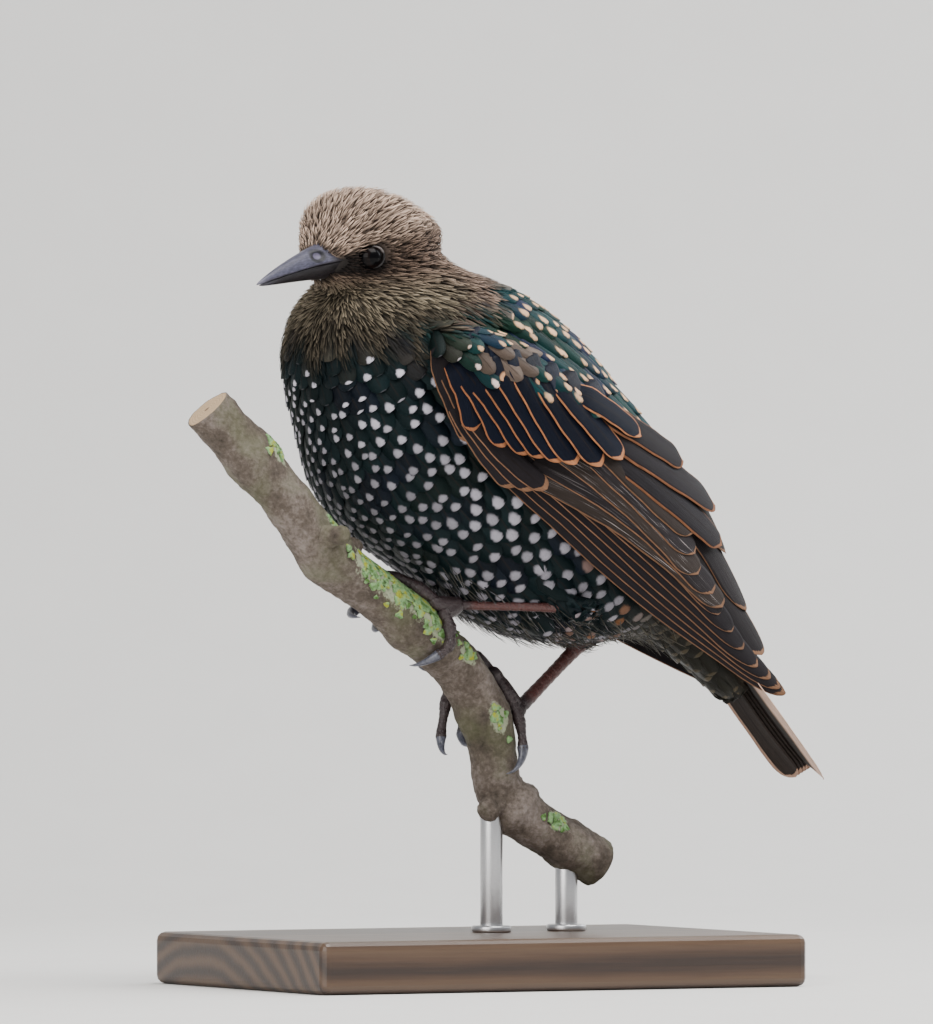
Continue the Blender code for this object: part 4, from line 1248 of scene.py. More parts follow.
def greater_coverts():
    roots = ((0.147, 0.115), (0.17, 0.175), (0.193, 0.22), (0.208, 0.30), (0.217, 0.39), (0.24, 0.475),
             (0.28, 0.535), (0.312, 0.60), (0.355, 0.665))
    tips = ((0.255, 0.04), (0.31, 0.125), (0.348, 0.19), (0.372, 0.235), (0.40, 0.275), (0.422, 0.31),
            (0.458, 0.385), (0.478, 0.495), (0.478, 0.70))
    made = []
    for k, (root, tip) in enumerate(zip(roots, tips)):
        start, end = wing_place(*root), wing_place(*tip)
        start = (start[0] - (end[0] - start[0]) * 0.35, start[1] - (end[1] - start[1]) * 0.30)
        width = 2.7 + 0.10 * k
        made.append(Plume(start, halfway(start, end, 1.6), end, width, 2.0 + 0.13 * k, "covert",
                          mix(SLATE, DEEP_BLUE, 0.6) * 0.6, mix(FRINGE, FRINGE_TIP, 0.2 + 0.08 * k),
                          0.11, 0.08 if k > 5 else 0.0, 0.045, shaft=-0.2, camber=0.2, tilt=0.34))
    return made


def primary_coverts():
    rows = (((0.16, 0.02), (0.385, 0.03)), ((0.18, 0.05), (0.41, 0.075)), ((0.20, 0.08), (0.425, 0.12)),
            ((0.05, 0.10), (0.27, 0.005)), ((0.08, 0.14), (0.315, 0.045)))
    made = []
    for k, (root, tip) in enumerate(rows):
        start, end = wing_place(*root), wing_place(*tip)
        lift = (1.2, 1.35, 1.5, 0.85, 1.0)[k]
        made.append(Plume(start, halfway(start, end, 0.4), end, 2.3, lift, "covert",
                          mix(SLATE, DARK_BROWN, 0.5), PALE_FRINGE, 0.10, 0.0, 0.05))
    return made


def median_coverts():
    tips = ((0.135, 0.40), (0.165, 0.47), (0.19, 0.44), (0.208, 0.40), (0.228, 0.475), (0.26, 0.56),
            (0.30, 0.60), (0.34, 0.655), (0.385, 0.72))
    made = []
    for k, tip in enumerate(tips):
        end = wing_place(*tip)
        start = (end[0] - 8.0, end[1] + 2.6)
        base = mix(DEEP_BLUE, SLATE, 0.4 * (k % 2)) * 0.7
        made.append(Plume(start, halfway(start, end, 0.3), end, 2.5, min(1.9 + 0.2 * k, 2.6), "covert", base,
                          mix(FRINGE_TIP, BUFF, 0.4), 0.62, 0.0, 0.0,
                          spot=0.26, sunk=2.2, tilt=0.2, camber=0.12))
    return made


def wing_piece(name, plumes, surface, finish, columns, seed, *nodes):
    """Long feathers joined as one piece."""
    draw = np.random.default_rng(seed)
    tops, unders = zip(*[long_vane(surface, plume, columns, draw) for plume in plumes])
    count = len(plumes)
    cells = math.ceil(math.sqrt(count))
    corners = np.array([(k % cells, k // cells) for k in range(count)]) / cells + 0.04 / cells
    patches = (corners, np.full((count, 2), 0.92 / cells))
    looks = {"tone": draw.random(count)}
    for label in ("base", "tip", "traits", "extras"):
        looks[label] = np.array([getattr(plume, label) for plume in plumes])
    looks["base"] = looks["base"] * varied(draw, 0.12, (count, 1))
    looks["tip"] = looks["tip"] * varied(draw, 0.08, (count, 1))
    across = np.linspace(-1, 1, columns)[None, :]
    along = LONG_PLACES[:, None]
    piece = join_vanes(name, np.array(tops), np.array(unders), across, along, patches, looks)
    settle(mend_normals(piece), finish, "wing_feathers", *nodes)


for name, side in (("left", 1), ("right", -1)):
    flight = primaries() + secondaries() + tertials() + primary_coverts() + greater_coverts()
    wing_piece(f"wing_feathers_{name}", flight, on_wing(side), WING_FINISH, 9, 20 + side, f"wing_{name}")
    wing_piece(f"median_coverts_{name}", median_coverts(), on_wing(side), BODY_FINISH, 9, 30 + side)


def on_tail(spots, lift):
    along = spots[..., 0] / TAIL_REACH
    return tail_sheet(along, spots[..., 1] / spline(TAIL_HALF_WIDTHS, along), lift)


TAIL_REACH = float(np.linalg.norm(np.subtract(TAIL_TIP, TAIL_ROOT)))


def tail_feathers():
    made = []
    for pair in range(5, -1, -1):
        for side in (1, -1):
            reach = 0.975 + 0.025 * pair / 5
            spread = (pair + 0.4) / 5.4
            end = (TAIL_REACH * reach, side * spread * 6.6)
            start = (TAIL_REACH * 0.05, side * spread * 3.0)
            middle = (TAIL_REACH * 0.6, side * spread * 7.3)
            near = pair == 5 and side > 0
            edge = 0.12 + 0.02 * pair + 1.4 * near
            outer, inner = (0.0, edge) if side > 0 else (edge, 0.0)
            made.append(Plume(start, middle, end, 4.3, 0.95 - 0.24 * pair, "rounded",
                              mix(DARK_BROWN, BROWN, 0.35),
                              mix((0.40, 0.25, 0.18), (0.62, 0.43, 0.34), float(near)), outer, inner, 0.025,
                              shaft=-0.3 * side, sunk=0.1, camber=0.22))
    return made


wing_piece("tail_feathers", tail_feathers(), on_tail, WING_FINISH, 7, 44, "tail")


# Bill, eyes and lids.

BILL_BASE = 16.0
BILL_TIP = 44.8
BILL_WIDTH = 3.7
MOUTH_HEIGHT = -0.3
MOUTH_DROP = 1.8
CULMEN_HEIGHT = 4.4
GONYS_DEPTH = 4.3
NOSTRIL = (23.9, 1.55)


def bill_half(name, upper):
    """One half of the bill, with a sunk nostril in the upper one."""
    rings = []
    turns = np.linspace(0, math.pi, 30)
    for place in np.linspace(0, 1, 64)**0.9:
        taper = max(1 - place, 0.0)
        width = BILL_WIDTH * (0.05 + 0.95 * taper**0.85)
        mouth = MOUTH_HEIGHT - MOUTH_DROP * place + 0.35 * math.sin(place * math.pi)
        if upper:
            forward = BILL_BASE + (BILL_TIP - BILL_BASE) * place
            height = (CULMEN_HEIGHT - MOUTH_HEIGHT) * taper**0.75 * 0.97 + 0.25
            sign, offset = 1, 0.04
        else:
            forward = BILL_BASE + (BILL_TIP - 1.0 - BILL_BASE) * place
            height = (GONYS_DEPTH + MOUTH_HEIGHT) * taper**0.8 + 0.2
            width *= 0.93
            sign, offset = -1, -0.10
        gape = 1.6 * float(ease(24.5, 17.5, forward))
        side = (width + gape * (1 - np.sin(turns))**1.5) * np.sign(np.cos(turns))
        side = side * np.abs(np.cos(turns))**0.9
        up = mouth + offset + sign * height * np.sin(turns)**(1.05 if upper else 0.9)
        if upper:
            pit = np.exp(-((forward - NOSTRIL[0]) / 1.7)**2 - ((up - NOSTRIL[1]) / 0.95)**2)
            flap = np.exp(-((forward - NOSTRIL[0] + 0.3) / 1.9)**2 - ((up - NOSTRIL[1] - 1.05) / 0.5)**2)
            lip = np.exp(-((up - mouth - 0.25) / 0.25)**2) * 0.12
            side = side - np.sign(side) * (0.55 * pit - 0.25 * flap - lip * taper)
        rings.append([head_point(forward, s, u) for s, u in zip(side, up)])
    piece = mend_normals(loft(name, rings))
    store(piece.data, "local", in_head(points_of(piece.data)))
    return piece


def bill_finish(name, upper):
    finish = Finish(name, {"Specular IOR Level": 0.3, "Coat Weight": 0.05, "Coat Roughness": 0.25})
    forward, side, up = finish.parts(finish.attribute("local", 1))
    grain = finish.noise(finish.vector(forward * 0.5, side * 2.2, up * 2.2), 1.3, 4.0, 0.6)
    if upper:
        colour = finish.ramp(grain, (0.3, (0.026, 0.026, 0.042)), (0.7, (0.078, 0.076, 0.118)))
        edge = (up + forward * 0.062 - 0.95).step(0.55, 0.0)
        colour = finish.blend(edge * 0.75, colour, (0.035, 0.030, 0.036))
        hole = ((forward - NOSTRIL[0]) / 1.8) ** 2.0 + ((up - NOSTRIL[1]) / 1.15) ** 2.0
        rim = hole.step(0.3, 0.6) * (1 - hole.step(1.2, 2.4))
        colour = finish.blend(rim * 0.92, colour, (0.010, 0.010, 0.013))
        colour = finish.blend(1 - hole.step(0.15, 0.5), colour, (0.12, 0.108, 0.165))
        colour = finish.blend(forward.step(40.0, 44.0) * 0.5, colour, (0.16, 0.155, 0.21))
        base = (forward + 0.5 * abs(up + 1)).step(22.0, 18.5)
        colour = finish.blend(base * 0.9, colour, (0.016, 0.013, 0.014))
    else:
        colour = finish.ramp(grain, (0.3, (0.008, 0.007, 0.008)), (0.7, (0.018, 0.015, 0.018)))
        colour = finish.blend(forward.step(36.0, 43.0) * 0.5, colour, (0.09, 0.085, 0.11))
    return finish.use(colour, grain * 0.2 + 0.30, grain, 0.0002, 0.3)


for name, upper in (("upper_bill", True), ("lower_bill", False)):
    settle(bill_half(name + "_horn", upper), bill_finish(name + "_horn", upper), "bill_horn", name)


def eye_axes(side, ahead):
    """Directions out of an eye, across it and up it, turned ahead by a part."""
    outward = unit(HEAD_AXES[1] * side + HEAD_AXES[0] * ahead)
    across = unit(np.cross(HEAD_AXES[2], outward))
    return np.array((outward, across, np.cross(outward, across)))


def eye_piece(name, side):
    """A glossy eyeball with a dark brown ring round its pupil."""
    pick()
    bpy.ops.mesh.primitive_uv_sphere_add(segments=48, ring_count=32, radius=EYE_RADIUS * MM)
    eye = bpy.context.object
    eye.name = f"eyeball_{name}"
    local = points_of(eye.data)[:, (2, 0, 1)]
    cornea = 1 + 0.05 * np.exp(-((local[:, 1:]**2).sum(axis=1)) / 3.2) * (local[:, 0] > 0)
    rim = np.hypot(local[:, 1], local[:, 2])
    place = head_point(EYE[0], side * EYE[1], EYE[2]) + local * cornea[:, None] @ eye_axes(side, 0.30)
    eye.data.vertices.foreach_set("co", (place * MM).ravel())
    eye.data.update()
    eye.data.shade_smooth()
    store(eye.data, "rim", rim)
    mend_normals(eye)
    constants = {"Roughness": 0.3, "Specular IOR Level": 0.03, "Coat Weight": 0.14, "Coat Roughness": 0.02}
    finish = Finish(f"eyeball_{name}", constants)
    out = finish.attribute("rim", 2)
    ring = out.step(1.65, 1.85) * (1 - out.step(2.3, 2.75))
    spoke = finish.noise(finish.place(), 3000.0, 2.0)
    colour = finish.blend(ring * (spoke + 0.2), (0.0015, 0.0015, 0.002), (0.006, 0.003, 0.0025))
    settle(eye, finish.use(colour), "eye_gloss", f"eye_{name}")


def lid_piece(name, side):
    """The bare rim of the lids, a ring of small beads round the eye."""
    outward, across, upward = eye_axes(side, 0.34)
    centre = head_point(EYE[0], side * (EYE[1] + 1.6), EYE[2])
    around, tube = 72, 12
    turn = np.linspace(0, 2 * math.pi, around, endpoint=False)[:, None]
    bend = np.linspace(0, 2 * math.pi, tube, endpoint=False)[None, :]
    radial = np.cos(turn)[..., None] * across * 1.03 + np.sin(turn)[..., None] * upward * 0.95
    bead = 0.27 + 0.02 * np.sin(turn * 26)
    middle = centre + radial * (EYE_RADIUS * 0.82)
    ring = middle + radial * (bead * np.cos(bend))[..., None]
    ring = ring + outward * (bead * 1.5 * np.sin(bend))[..., None]
    faces = grid_faces(around, tube, True)
    k = np.arange(tube)
    last = (around - 1) * tube
    closing = np.stack([last + k, last + (k + 1) % tube, (k + 1) % tube, k], axis=1)
    lid = mend_normals(mesh_piece(f"lids_{name}", ring.reshape(-1, 3), np.concatenate([faces, closing])))
    # A pale crescent on the upper side of the rim: partly the rim's own pale edge, partly a painted
    # highlight.
    pale = ease(0.72, 1.0, np.sin(turn) * 0.8 + np.cos(turn) * 0.6 * side) + 0 * bend
    store(lid.data, "pale", pale.ravel())
    finish = Finish(f"lids_{name}", {"Roughness": 0.5})
    grain = finish.noise(finish.place(), 2500.0)
    pale = finish.attribute("pale", 2)
    colour = finish.blend(pale * (grain + 0.3), (0.010, 0.008, 0.008), (0.30, 0.26, 0.25))
    settle(lid, finish.use(colour, None, grain, 0.0001, 0.5), "head_feathers")


for name, side in (("left", 1), ("right", -1)):
    eye_piece(name, side)
    lid_piece(name, side)


# The perch, and the legs that grip it.

PERCH_ROUTE = (
    (9.9, -74.5, 132.0),
    (10.6, -63.2, 120.0),
    (11.0, -53.6, 109.5),
    (9.5, -43.4, 98.0),
    (7.2, -29.5, 89.4),
    (4.5, -16.5, 80.2),
    (1.2, -6.5, 73.1),
    (-1.9, 2.8, 59.3),
    (-3.5, 6.4, 45.5),
    (-3.7, 12.7, 38.6),
    (-4.1, 22.7, 32.8),
    (-4.4, 33.2, 27.4),
)
PERCH_RADIUS = 5.7
DEGREES = 57.3     # in a radian
PERCH_RINGS = (
    (0.09, 1.1, 4.0), (0.27, 0.9, 3.5), (0.42, 0.8, 4.0),
    (0.62, 0.9, 4.5), (0.79, 1.1, 4.0), (0.93, 0.7, 4.0),
)
STUBS = ((0.235, 75.0, 5.5, 2.2), (0.30, -20.0, 2.4, 2.6), (0.745, 150.0, 2.6, 2.6))
TOES = {
    "left": (0.437, {
        "hallux": ((1.0, 38.0, 1.6), (3.5, 62.0, 1.0), (4.8, 92.0, 1.3), (4.0, 118.0, 1.6)),
        "toe_inner": ((-1.5, 30.0, 1.6), (-6.0, 8.0, 1.4), (-10.0, -35.0, 1.3), (-12.0, -80.0, 1.3)),
        "toe_middle": ((-1.0, 22.0, 1.6), (-3.5, -20.0, 1.4), (-8.0, -85.0, 1.3), (-12.5, -138.0, 1.4)),
        "toe_outer": ((0.5, 20.0, 1.6), (-0.5, -25.0, 1.4), (-3.0, -80.0, 1.3), (-5.0, -120.0, 1.3)),
    }),
    "right": (0.575, {
        "hallux": ((2.0, -4.0, 1.8), (6.0, 14.0, 1.1), (10.5, 26.0, 1.3), (15.0, 42.0, 1.6)),
        "toe_inner": ((-1.0, -22.0, 1.8), (-4.0, -50.0, 1.4), (-7.5, -80.0, 1.3), (-10.0, -112.0, 1.3)),
        "toe_middle": ((0.0, -28.0, 1.8), (1.0, -75.0, 1.4), (3.0, -130.0, 1.6), (8.0, -158.0, 4.6)),
        "toe_outer": ((1.5, -20.0, 1.8), (4.5, -60.0, 1.4), (8.0, -95.0, 1.3), (11.0, -122.0, 1.3)),
    }),
}
CLAW_LENGTHS = {"hallux": 8.4, "toe_inner": 6.3, "toe_middle": 7.4, "toe_outer": 6.3}
CLAW_HOOK = 1.35


def perch_frame(place):
    """Centre, direction, near side and upper side of the perch at a place from 0 to 1."""
    step = 0.004
    centre = spline(PERCH_ROUTE, place)
    along = unit(spline(PERCH_ROUTE, min(place + step, 1)) - spline(PERCH_ROUTE, max(place - step, 0)))
    side = unit(np.array((1.0, 0.0, 0.0)) - along[0] * along)
    return centre, along, side, np.cross(side, along)


PERCH_LENGTH = np.linalg.norm(np.diff(spline(PERCH_ROUTE, np.linspace(0, 1, 200)), axis=0), axis=1).sum()


def perch_radius(place, angle):
    radius = PERCH_RADIUS + 0.25 * math.sin(3 * angle + 9 * place) + 0.2 * math.sin(2 * angle - 23 * place)
    for middle, height, half_length in PERCH_RINGS:
        radius += height * math.exp(-((place - middle) * PERCH_LENGTH / half_length)**2)
    return radius


def perch_point(place, degrees, lift):
    centre, _, side, upper = perch_frame(place)
    angle = math.radians(degrees)
    reach = perch_radius(place, angle) + lift
    return centre + reach * (math.cos(angle) * upper + math.sin(angle) * side)


# Lichen: place along the perch, degrees round it, and its reach along and round in millimetres.
LICHEN = (
    (0.32, 45.0, 5.0, 5.0), (0.36, 42.0, 7.0, 5.5), (0.40, 25.0, 8.0, 6.0),
    (0.44, 55.0, 6.0, 4.0), (0.52, 70.0, 3.0, 2.0), (0.62, 85.0, 3.0, 2.0),
    (0.87, 60.0, 3.5, 2.5), (0.10, 40.0, 3.0, 2.0), (0.24, 20.0, 3.5, 2.5),
)
CUT_SHARES = np.array((0.1, 0.55, 0.93))     # rings on each cut end, as parts of its radius


def perch_piece():
    """The cut branch: knobbly bark, cut ends with growth rings."""
    around = 60
    turns = np.arange(around) * 360 / around
    rings = []
    places = np.linspace(0, 1, 300)
    for place in places:
        ring = []
        for degrees in turns:
            angle = math.radians(degrees)
            seat = Vector((math.cos(angle) * 2.2, math.sin(angle) * 2.2, place * PERCH_LENGTH * 0.32))
            rough = 0.30 * noise.noise(seat * 0.8) + 0.22 * noise.noise(seat * 2.1 + Vector((5, 0, 0)))
            rough += 0.16 * abs(noise.noise(Vector((angle * 2.5, place * PERCH_LENGTH * 0.9, 3.0))))
            knot = noise.noise(Vector((math.cos(angle), math.sin(angle), place * 22.0)))
            ring.append(perch_point(place, degrees, rough - 0.15 + 0.5 * max(knot - 0.25, 0.0)))
        rings.append(ring)
    rings = np.array(rings)
    first, last = rings[0].mean(axis=0), rings[-1].mean(axis=0)
    caps = [first + (rings[0] - first) * share for share in CUT_SHARES]
    ends = [last + (rings[-1] - last) * share for share in CUT_SHARES[::-1]]
    rings = np.concatenate([caps, rings, ends])
    piece = mend_normals(loft("perch_bark", rings))
    inside, radial, moss = (np.full((len(rings), around), value) for value in (0.0, 1.0, 0.0))
    inside[:3] = inside[-3:] = 1
    radial[:3] = CUT_SHARES[:, None]
    radial[-3:] = CUT_SHARES[::-1, None]
    for place, degrees, reach, round_reach in LICHEN:
        off = (places[:, None] - place) * PERCH_LENGTH / reach
        turn = np.abs((turns[None, :] - degrees + 180) % 360 - 180)
        turn = turn * PERCH_RADIUS * math.pi / 180 / round_reach
        moss[3:-3] = np.maximum(moss[3:-3], np.exp(-(off**2 + turn**2)))
    for label, values, middle in (("cut", inside, 1), ("radial", radial, 0), ("lichen", moss, 0)):
        store(piece.data, label, np.append(values.ravel(), (middle, middle)))
    stubs = []
    for place, degrees, height, radius in STUBS:
        root, top = perch_point(place, degrees, -3.0), perch_point(place, degrees, height)
        line = [root + (top - root) * part for part in (0.0, 0.3, 0.5, 0.7, 0.85, 0.95, 1.0)]
        stubs.append(limb("stub", line, np.array((1.4, 1.3, 1.1, 1.0, 1.05, 0.9, 0.5)) * radius, 20))
    return join_pieces([piece, *stubs], "perch_bark")


def bark_finish():
    finish = Finish("bark", {"Roughness": 0.9})
    place = finish.place()
    wide = finish.noise(place, 120.0, 4.0, 0.6)
    fine = finish.noise(place, 900.0, 4.0, 0.65)
    crack = finish.cells(place, 420.0)
    colour = finish.ramp(wide * 0.6 + fine * 0.4, (0.32, (0.028, 0.021, 0.014)),
                         (0.48, (0.095, 0.074, 0.058)), (0.68, (0.25, 0.21, 0.19)))
    colour = finish.blend(crack.step(0.05, 0.0) * 0.18, colour, (0.035, 0.028, 0.025))
    green = finish.noise(place, 60.0, 3.0).step(0.48, 0.62)
    colour = finish.blend(green * 0.5, colour, (0.075, 0.085, 0.035))
    lichen = finish.attribute("lichen", 2) + (fine - 0.5) * 0.9
    colour = finish.blend(lichen.step(0.28, 0.5), colour, (0.30, 0.33, 0.22))
    radial = finish.attribute("radial", 2)
    rings = finish.maths("SINE", radial * 46 + wide * 7, 0.0) * 0.5 + 0.5
    wood = finish.blend(rings * 0.6, (0.50, 0.36, 0.22), (0.34, 0.22, 0.12))
    wood = finish.blend(1 - radial.step(0.08, 0.16), wood, (0.16, 0.10, 0.06))
    colour = finish.blend(finish.attribute("cut", 2).step(0.4, 0.9), colour, wood)
    return finish.use(colour, None, wide * 0.4 + fine * 0.5 + crack.step(0.0, 0.1) * 0.06, 0.0008, 0.7)


def lichen_piece():
    """Crusts of lichen: small lobed scales set close together on the bark."""
    draw = np.random.default_rng(77)
    around = 9
    points, faces = [], []
    for place, degrees, reach, round_reach in LICHEN:
        for _ in range(int(9 * reach * round_reach / 4)):
            at = place + draw.normal(0, 0.5) * reach / PERCH_LENGTH
            angle = degrees + draw.normal(0, 0.5) * round_reach / PERCH_RADIUS * DEGREES
            if not 0.01 < at < 0.99:
                continue
            size = draw.uniform(0.35, 1.0)
            turns = np.arange(around) * 2 * math.pi / around
            lobes = size * (1 + 0.28 * np.sin(turns * 3 + draw.random() * 6) + draw.normal(0, 0.08, around))
            first = len(points)
            for share, lift in ((1.0, -0.25), (1.0, 0.18), (0.72, 0.34)):
                for turn, lobe in zip(turns, lobes):
                    along = math.cos(turn) * lobe * share / PERCH_LENGTH
                    bend = math.sin(turn) * lobe * share / PERCH_RADIUS * DEGREES
                    points.append(perch_point(at + along, angle + bend, lift + draw.normal(0, 0.05)))
            points.append(perch_point(at, angle, 0.22))
            points.append(perch_point(at, angle, -0.4))
            for k in range(around):
                after = (k + 1) % around
                for ring in (0, 1):
                    a, b = first + ring * around + k, first + ring * around + after
                    faces += [(a, b, b + around), (a, b + around, a + around)]
                faces.append((first + 2 * around + k, first + 2 * around + after, first + 3 * around))
                faces.append((first + after, first + k, first + 3 * around + 1))
    piece = mend_normals(mesh_piece("lichen", points, faces))
    finish = Finish("lichen", {"Roughness": 0.95})
    place = finish.place()
    patch = finish.noise(place, 500.0, 3.0)
    colour = finish.ramp(patch, (0.35, (0.07, 0.15, 0.03)), (0.50, (0.22, 0.38, 0.17)),
                         (0.66, (0.34, 0.36, 0.03)))
    settle(piece, finish.use(colour, None, finish.noise(place, 3000.0), 0.0004, 0.8), "bark")


settle(perch_piece(), bark_finish(), "bark", "perch")
lichen_piece()


def leg_finish():
    finish = Finish("leg_skin", {"Coat Weight": 0.2, "Coat Roughness": 0.35})
    along = finish.attribute("toe", 2)
    place = finish.place()
    grain = finish.noise(place, 1400.0, 3.0)
    scale = finish.cells(place, 1500.0)
    colour = finish.blend(along.step(0.1, 0.9), (0.078, 0.021, 0.018), (0.030, 0.017, 0.019))
    colour = finish.scaled(colour, grain * 0.9 + 0.5)
    colour = finish.blend(scale.step(0.10, 0.0) * 0.5, colour, (0.03, 0.018, 0.016))
    return finish.use(colour, grain * 0.3 + 0.3, scale.step(0.0, 0.25) + grain * 0.3, 0.0002, 0.6)


LEG_SKIN = leg_finish()


def scuted(line, radii, step, count):
    """More points along a limb, with an overlapping plate every step, in millimetres."""
    line, radii = np.asarray(line, float), np.asarray(radii, float)
    place = np.linspace(0, 1, count)
    points = spline(line, place)
    run = np.append(0, np.cumsum(np.linalg.norm(np.diff(points, axis=0), axis=1)))
    smooth = np.interp(place, np.linspace(0, 1, len(radii)), radii)
    plate = (run / step) % 1.0
    return points, smooth * (1 + 0.09 * plate - 0.13 * ease(0.82, 1.0, plate))


def leg_piece(name):
    """Tarsus and toes, each with its scutes, and a claw on each toe."""
    ankle, foot = np.array(ANKLES[name]), np.array(FOOT_BALLS[name])
    centres = [ankle + (foot - ankle) * place for place in np.linspace(-0.03, 1.0, 9)]
    stout = 0.64 if name == "left" else 1.0
    thickness = np.array((1.0, 2.0, 1.85, 1.58, 1.5, 1.48, 1.5, 1.6, 1.6)) * stout
    line, radii = scuted(centres, thickness, 2.3, 150)
    pieces = [limb("tarsus", line, radii, 24)]
    home, toes = TOES[name]
    pad = [foot + (foot - ankle) * part * 0.03 for part in (-1.6, -1.2, -0.5, 0, 0.5, 1.2, 1.6)]
    pieces.append(limb("pad", pad, (0.4, 1.3, 1.9, 2.0, 1.9, 1.3, 0.4), 20))
    for toe, knots in toes.items():
        rows = spline(knots, np.linspace(0, 1, 16))
        line = [perch_point(home + along / PERCH_LENGTH, degrees, lift) for along, degrees, lift in rows]
        line = np.concatenate([[foot + (line[0] - foot) * 0.15], line])
        along = np.linspace(0, 1, 120)
        radii = (1.6 - 0.5 * along) * (1 + 0.14 * np.cos(along * 6 * math.pi))
        points, radii = scuted(line, radii, 1.25, 120)
        pieces.append(limb("toe", points, radii, 16))
        claw_piece(name, toe, points, radii[-1])
    whole = join_pieces(pieces, f"leg_{name}")
    points = points_of(whole.data)
    along = (points - ankle) @ unit(foot - ankle) / np.linalg.norm(foot - ankle)
    off = np.linalg.norm(np.cross(points - ankle, unit(foot - ankle)), axis=1)
    store(whole.data, "toe", np.maximum(ease(0.8, 1.0, along), ease(2.6, 4.0, off)))
    settle(whole, LEG_SKIN, "leg_skin", f"tarsus_{name}", f"foot_{name}")


def claw_finish():
    finish = Finish("claw_horn", {"Coat Weight": 0.3, "Coat Roughness": 0.2})
    grain = finish.noise(finish.stretched(finish.place(), (1.0, 1.0, 0.4)), 2200.0, 3.0)
    colour = finish.ramp(grain, (0.3, (0.035, 0.036, 0.048)), (0.7, (0.11, 0.115, 0.15)))
    return finish.use(colour, grain * 0.2 + 0.25, grain, 0.0001, 0.3)


CLAW_HORN = claw_finish()


def claw_piece(name, toe, line, radius):
    """A claw that curls on from the end of its toe."""
    direction = unit(line[-1] - line[-4])
    bend = unit((line[-1] - line[-8]) / 7 - (line[-8] - line[-24]) / 16)
    bend = unit(bend - direction * (bend @ direction))
    turn = np.linspace(-0.12, CLAW_HOOK, 30)
    reach = CLAW_LENGTHS[toe] / CLAW_HOOK
    centres = line[-1] + reach * (np.sin(turn)[:, None] * direction + (1 - np.cos(turn))[:, None] * bend)
    part = np.clip(turn / CLAW_HOOK, 0, 1)
    claw = limb(f"claw_{name}_{toe}_horn", centres, radius * (1 - 0.93 * part**0.85), 16)
    settle(claw, CLAW_HORN, "claw_horn", f"claw_{name}_{toe}")


leg_piece("left")
leg_piece("right")


# The stand, with its rods and collars.

def wood_finish():
    finish = Finish("base_walnut", {"Coat Weight": 0.25, "Coat Roughness": 0.3})
    x, y, z = finish.parts(finish.place())
    log = finish.vector(x + 0.02, y * 0.06, z + 0.05)
    bands = finish.make("TexWave", {"Vector": log, "Scale": 70.0, "Distortion": 3.0, "Detail": 2.0},
                        wave_type="RINGS", rings_direction="Y")
    fibre = finish.noise(finish.stretched(finish.place(), (1.0, 0.03, 1.0)), 1500.0, 3.0)
    colour = finish.ramp(bands * 0.6 + fibre * 0.4, (0.2, (0.024, 0.012, 0.007)),
                         (0.55, (0.058, 0.030, 0.016)), (0.85, (0.092, 0.052, 0.028)))
    return finish.use(colour, fibre * 0.2 + 0.34, fibre, 0.0002, 0.25)


def steel_finish():
    finish = Finish("rod_steel", {"Metallic": 1.0})
    brushed = finish.noise(finish.stretched(finish.place(), (1.0, 1.0, 14.0)), 900.0, 3.0)
    colour = finish.blend(brushed, (0.50, 0.50, 0.51), (0.68, 0.68, 0.69))
    return finish.use(colour, brushed * 0.18 + 0.24, brushed, 0.0001, 0.2)


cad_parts["stand_base"].material_slots[0].material = wood_finish()
STEEL = steel_finish()
BASE_HEIGHT = 12.0
ROD_RADIUS = 2.6
COLLAR_RADIUS = 4.6
COLLAR_HEIGHT = 1.6
RODS = (0.665, 0.925)     # where the rods meet the perch, as parts of its length


def rod_piece(number, place):
    """A turned steel rod that rises from a collar on the base to the underside of the perch."""
    centre = spline(PERCH_ROUTE, place)
    top = centre[2] - PERCH_RADIUS + 1.2
    parts = []
    for radius, high, edge in ((ROD_RADIUS, top, 0.3), (COLLAR_RADIUS, BASE_HEIGHT + COLLAR_HEIGHT, 0.5)):
        pick()
        bpy.ops.mesh.primitive_cylinder_add(vertices=48, radius=radius * MM, depth=(high - BASE_HEIGHT) * MM,
                                            location=(*centre[:2] * MM, (BASE_HEIGHT + high) / 2 * MM))
        piece = bpy.context.object
        bpy.ops.object.transform_apply(location=True, rotation=True, scale=True)
        soft = piece.modifiers.new("soft_edges", "BEVEL")
        soft.width = edge * MM
        soft.segments = 3
        keep_modifiers(piece)
        piece.data.shade_smooth()
        parts.append(piece)
    settle(join_pieces(parts, f"turned_rod_{number}"), STEEL, "rod_steel", f"stand_rod_{number}")


for number, place in enumerate(RODS, start=1):
    rod_piece(number, place)


# Floor, backdrop, camera and lights.

AZIMUTH = math.radians(63.0)
BACK = np.array((math.sin(AZIMUTH), -math.cos(AZIMUTH), 0.0))
RIGHT = np.array((math.cos(AZIMUTH), math.sin(AZIMUTH), 0.0))
UP = np.array((0.0, 0.0, 1.0))
CAMERA_DISTANCE = 3000.0
CAMERA_LENS = 459.0
SKY_STRENGTH = 0.42


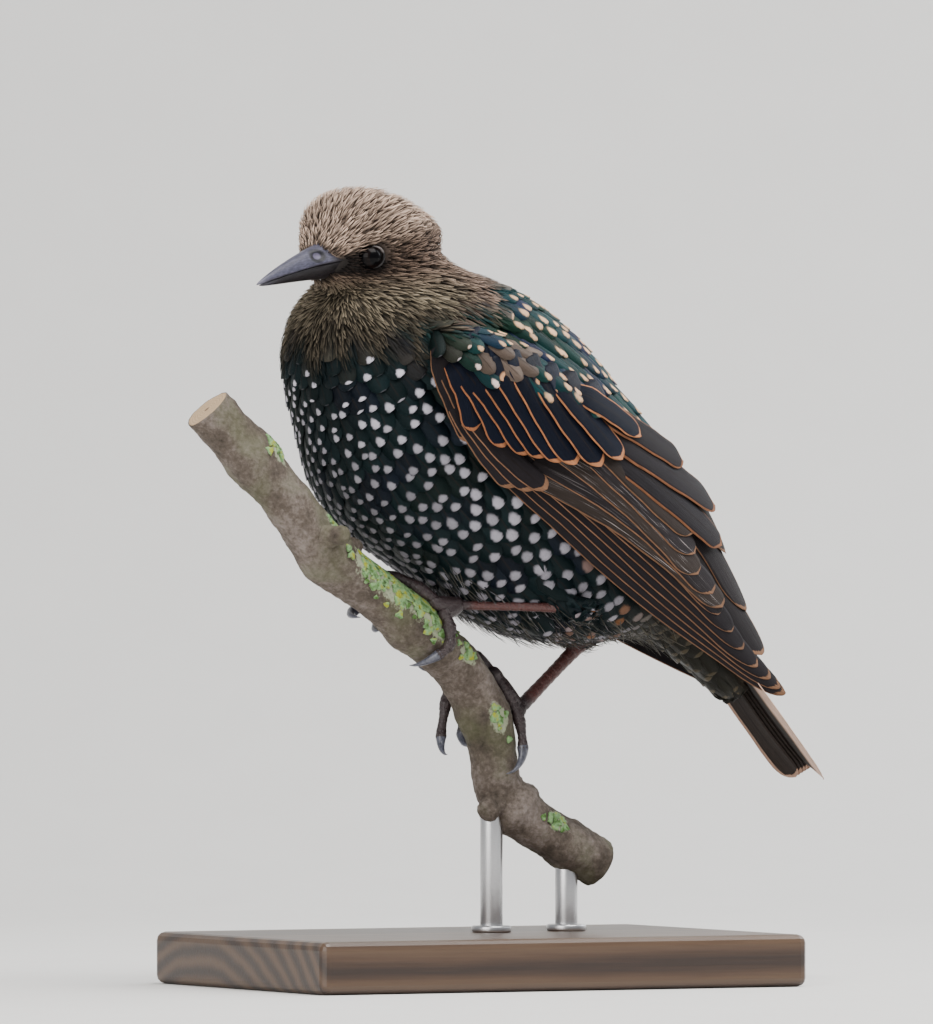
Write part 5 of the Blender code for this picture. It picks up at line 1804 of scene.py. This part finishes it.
def backdrop_piece():
    """A pale sweep: floor that curves up into a wall behind the model."""
    profile = [(2600.0, 0.0), (600.0, 0.0), (-500.0, 0.0)]
    for turn in np.linspace(0.1, math.pi / 2, 14):
        profile.append((-500.0 - 500.0 * math.sin(turn), 500.0 - 500.0 * math.cos(turn)))
    profile.append((-1000.0, 2400.0))
    rows = [[BACK * away + UP * height + RIGHT * across for across in (-2200.0, 0.0, 2200.0)]
            for away, height in profile]
    sweep = mesh_piece("backdrop", np.array(rows).reshape(-1, 3), grid_faces(len(rows), 3))
    finish = Finish("backdrop_paper", {"Roughness": 0.9})
    grain = finish.noise(finish.place(), 40.0)
    finish.feed(finish.shader.inputs["Alpha"], 1 - finish.make("NewGeometry", {}, "Backfacing"))
    sweep.data.materials.append(finish.use(finish.blend(grain, (0.74, 0.73, 0.71), (0.78, 0.77, 0.75))))


backdrop_piece()


def aim(thing, place, target):
    thing.location = Vector(place * MM)
    thing.rotation_euler = Vector((target - place) * MM).to_track_quat("-Z", "Y").to_euler()
    bpy.context.scene.collection.objects.link(thing)


def lamp(name, place, target, size, power, colour):
    light = bpy.data.lights.new(name, "AREA")
    light.size = size
    light.energy = power
    light.color = colour
    aim(bpy.data.objects.new(name, light), place, target)


MIDDLE = np.array((0.0, 0.0, 110.0))
lamp("top_light", MIDDLE + UP * 900 + BACK * 250 + RIGHT * 250, MIDDLE, 0.8, 19.0, (1.0, 0.98, 0.95))
lamp("side_light", MIDDLE + BACK * 1000 - RIGHT * 650 + UP * 350, MIDDLE, 0.8, 9.0, (1.0, 0.97, 0.93))
lamp("rim_light", MIDDLE - BACK * 450 + RIGHT * 700 + UP * 500, MIDDLE, 0.6, 7.0, (0.93, 0.96, 1.0))

world = bpy.data.worlds.new("studio")
world.use_nodes = True
world.node_tree.nodes["Background"].inputs["Color"].default_value = (0.92, 0.95, 1.0, 1.0)
world.node_tree.nodes["Background"].inputs["Strength"].default_value = SKY_STRENGTH
bpy.context.scene.world = world

camera = bpy.data.cameras.new("camera")
camera.lens = CAMERA_LENS
camera.sensor_width = 36.0
camera.clip_end = 20.0
focus = RIGHT * -3.10 + UP * 108.7
viewer = bpy.data.objects.new("camera", camera)
aim(viewer, focus + BACK * CAMERA_DISTANCE, focus)
bpy.context.scene.camera = viewer
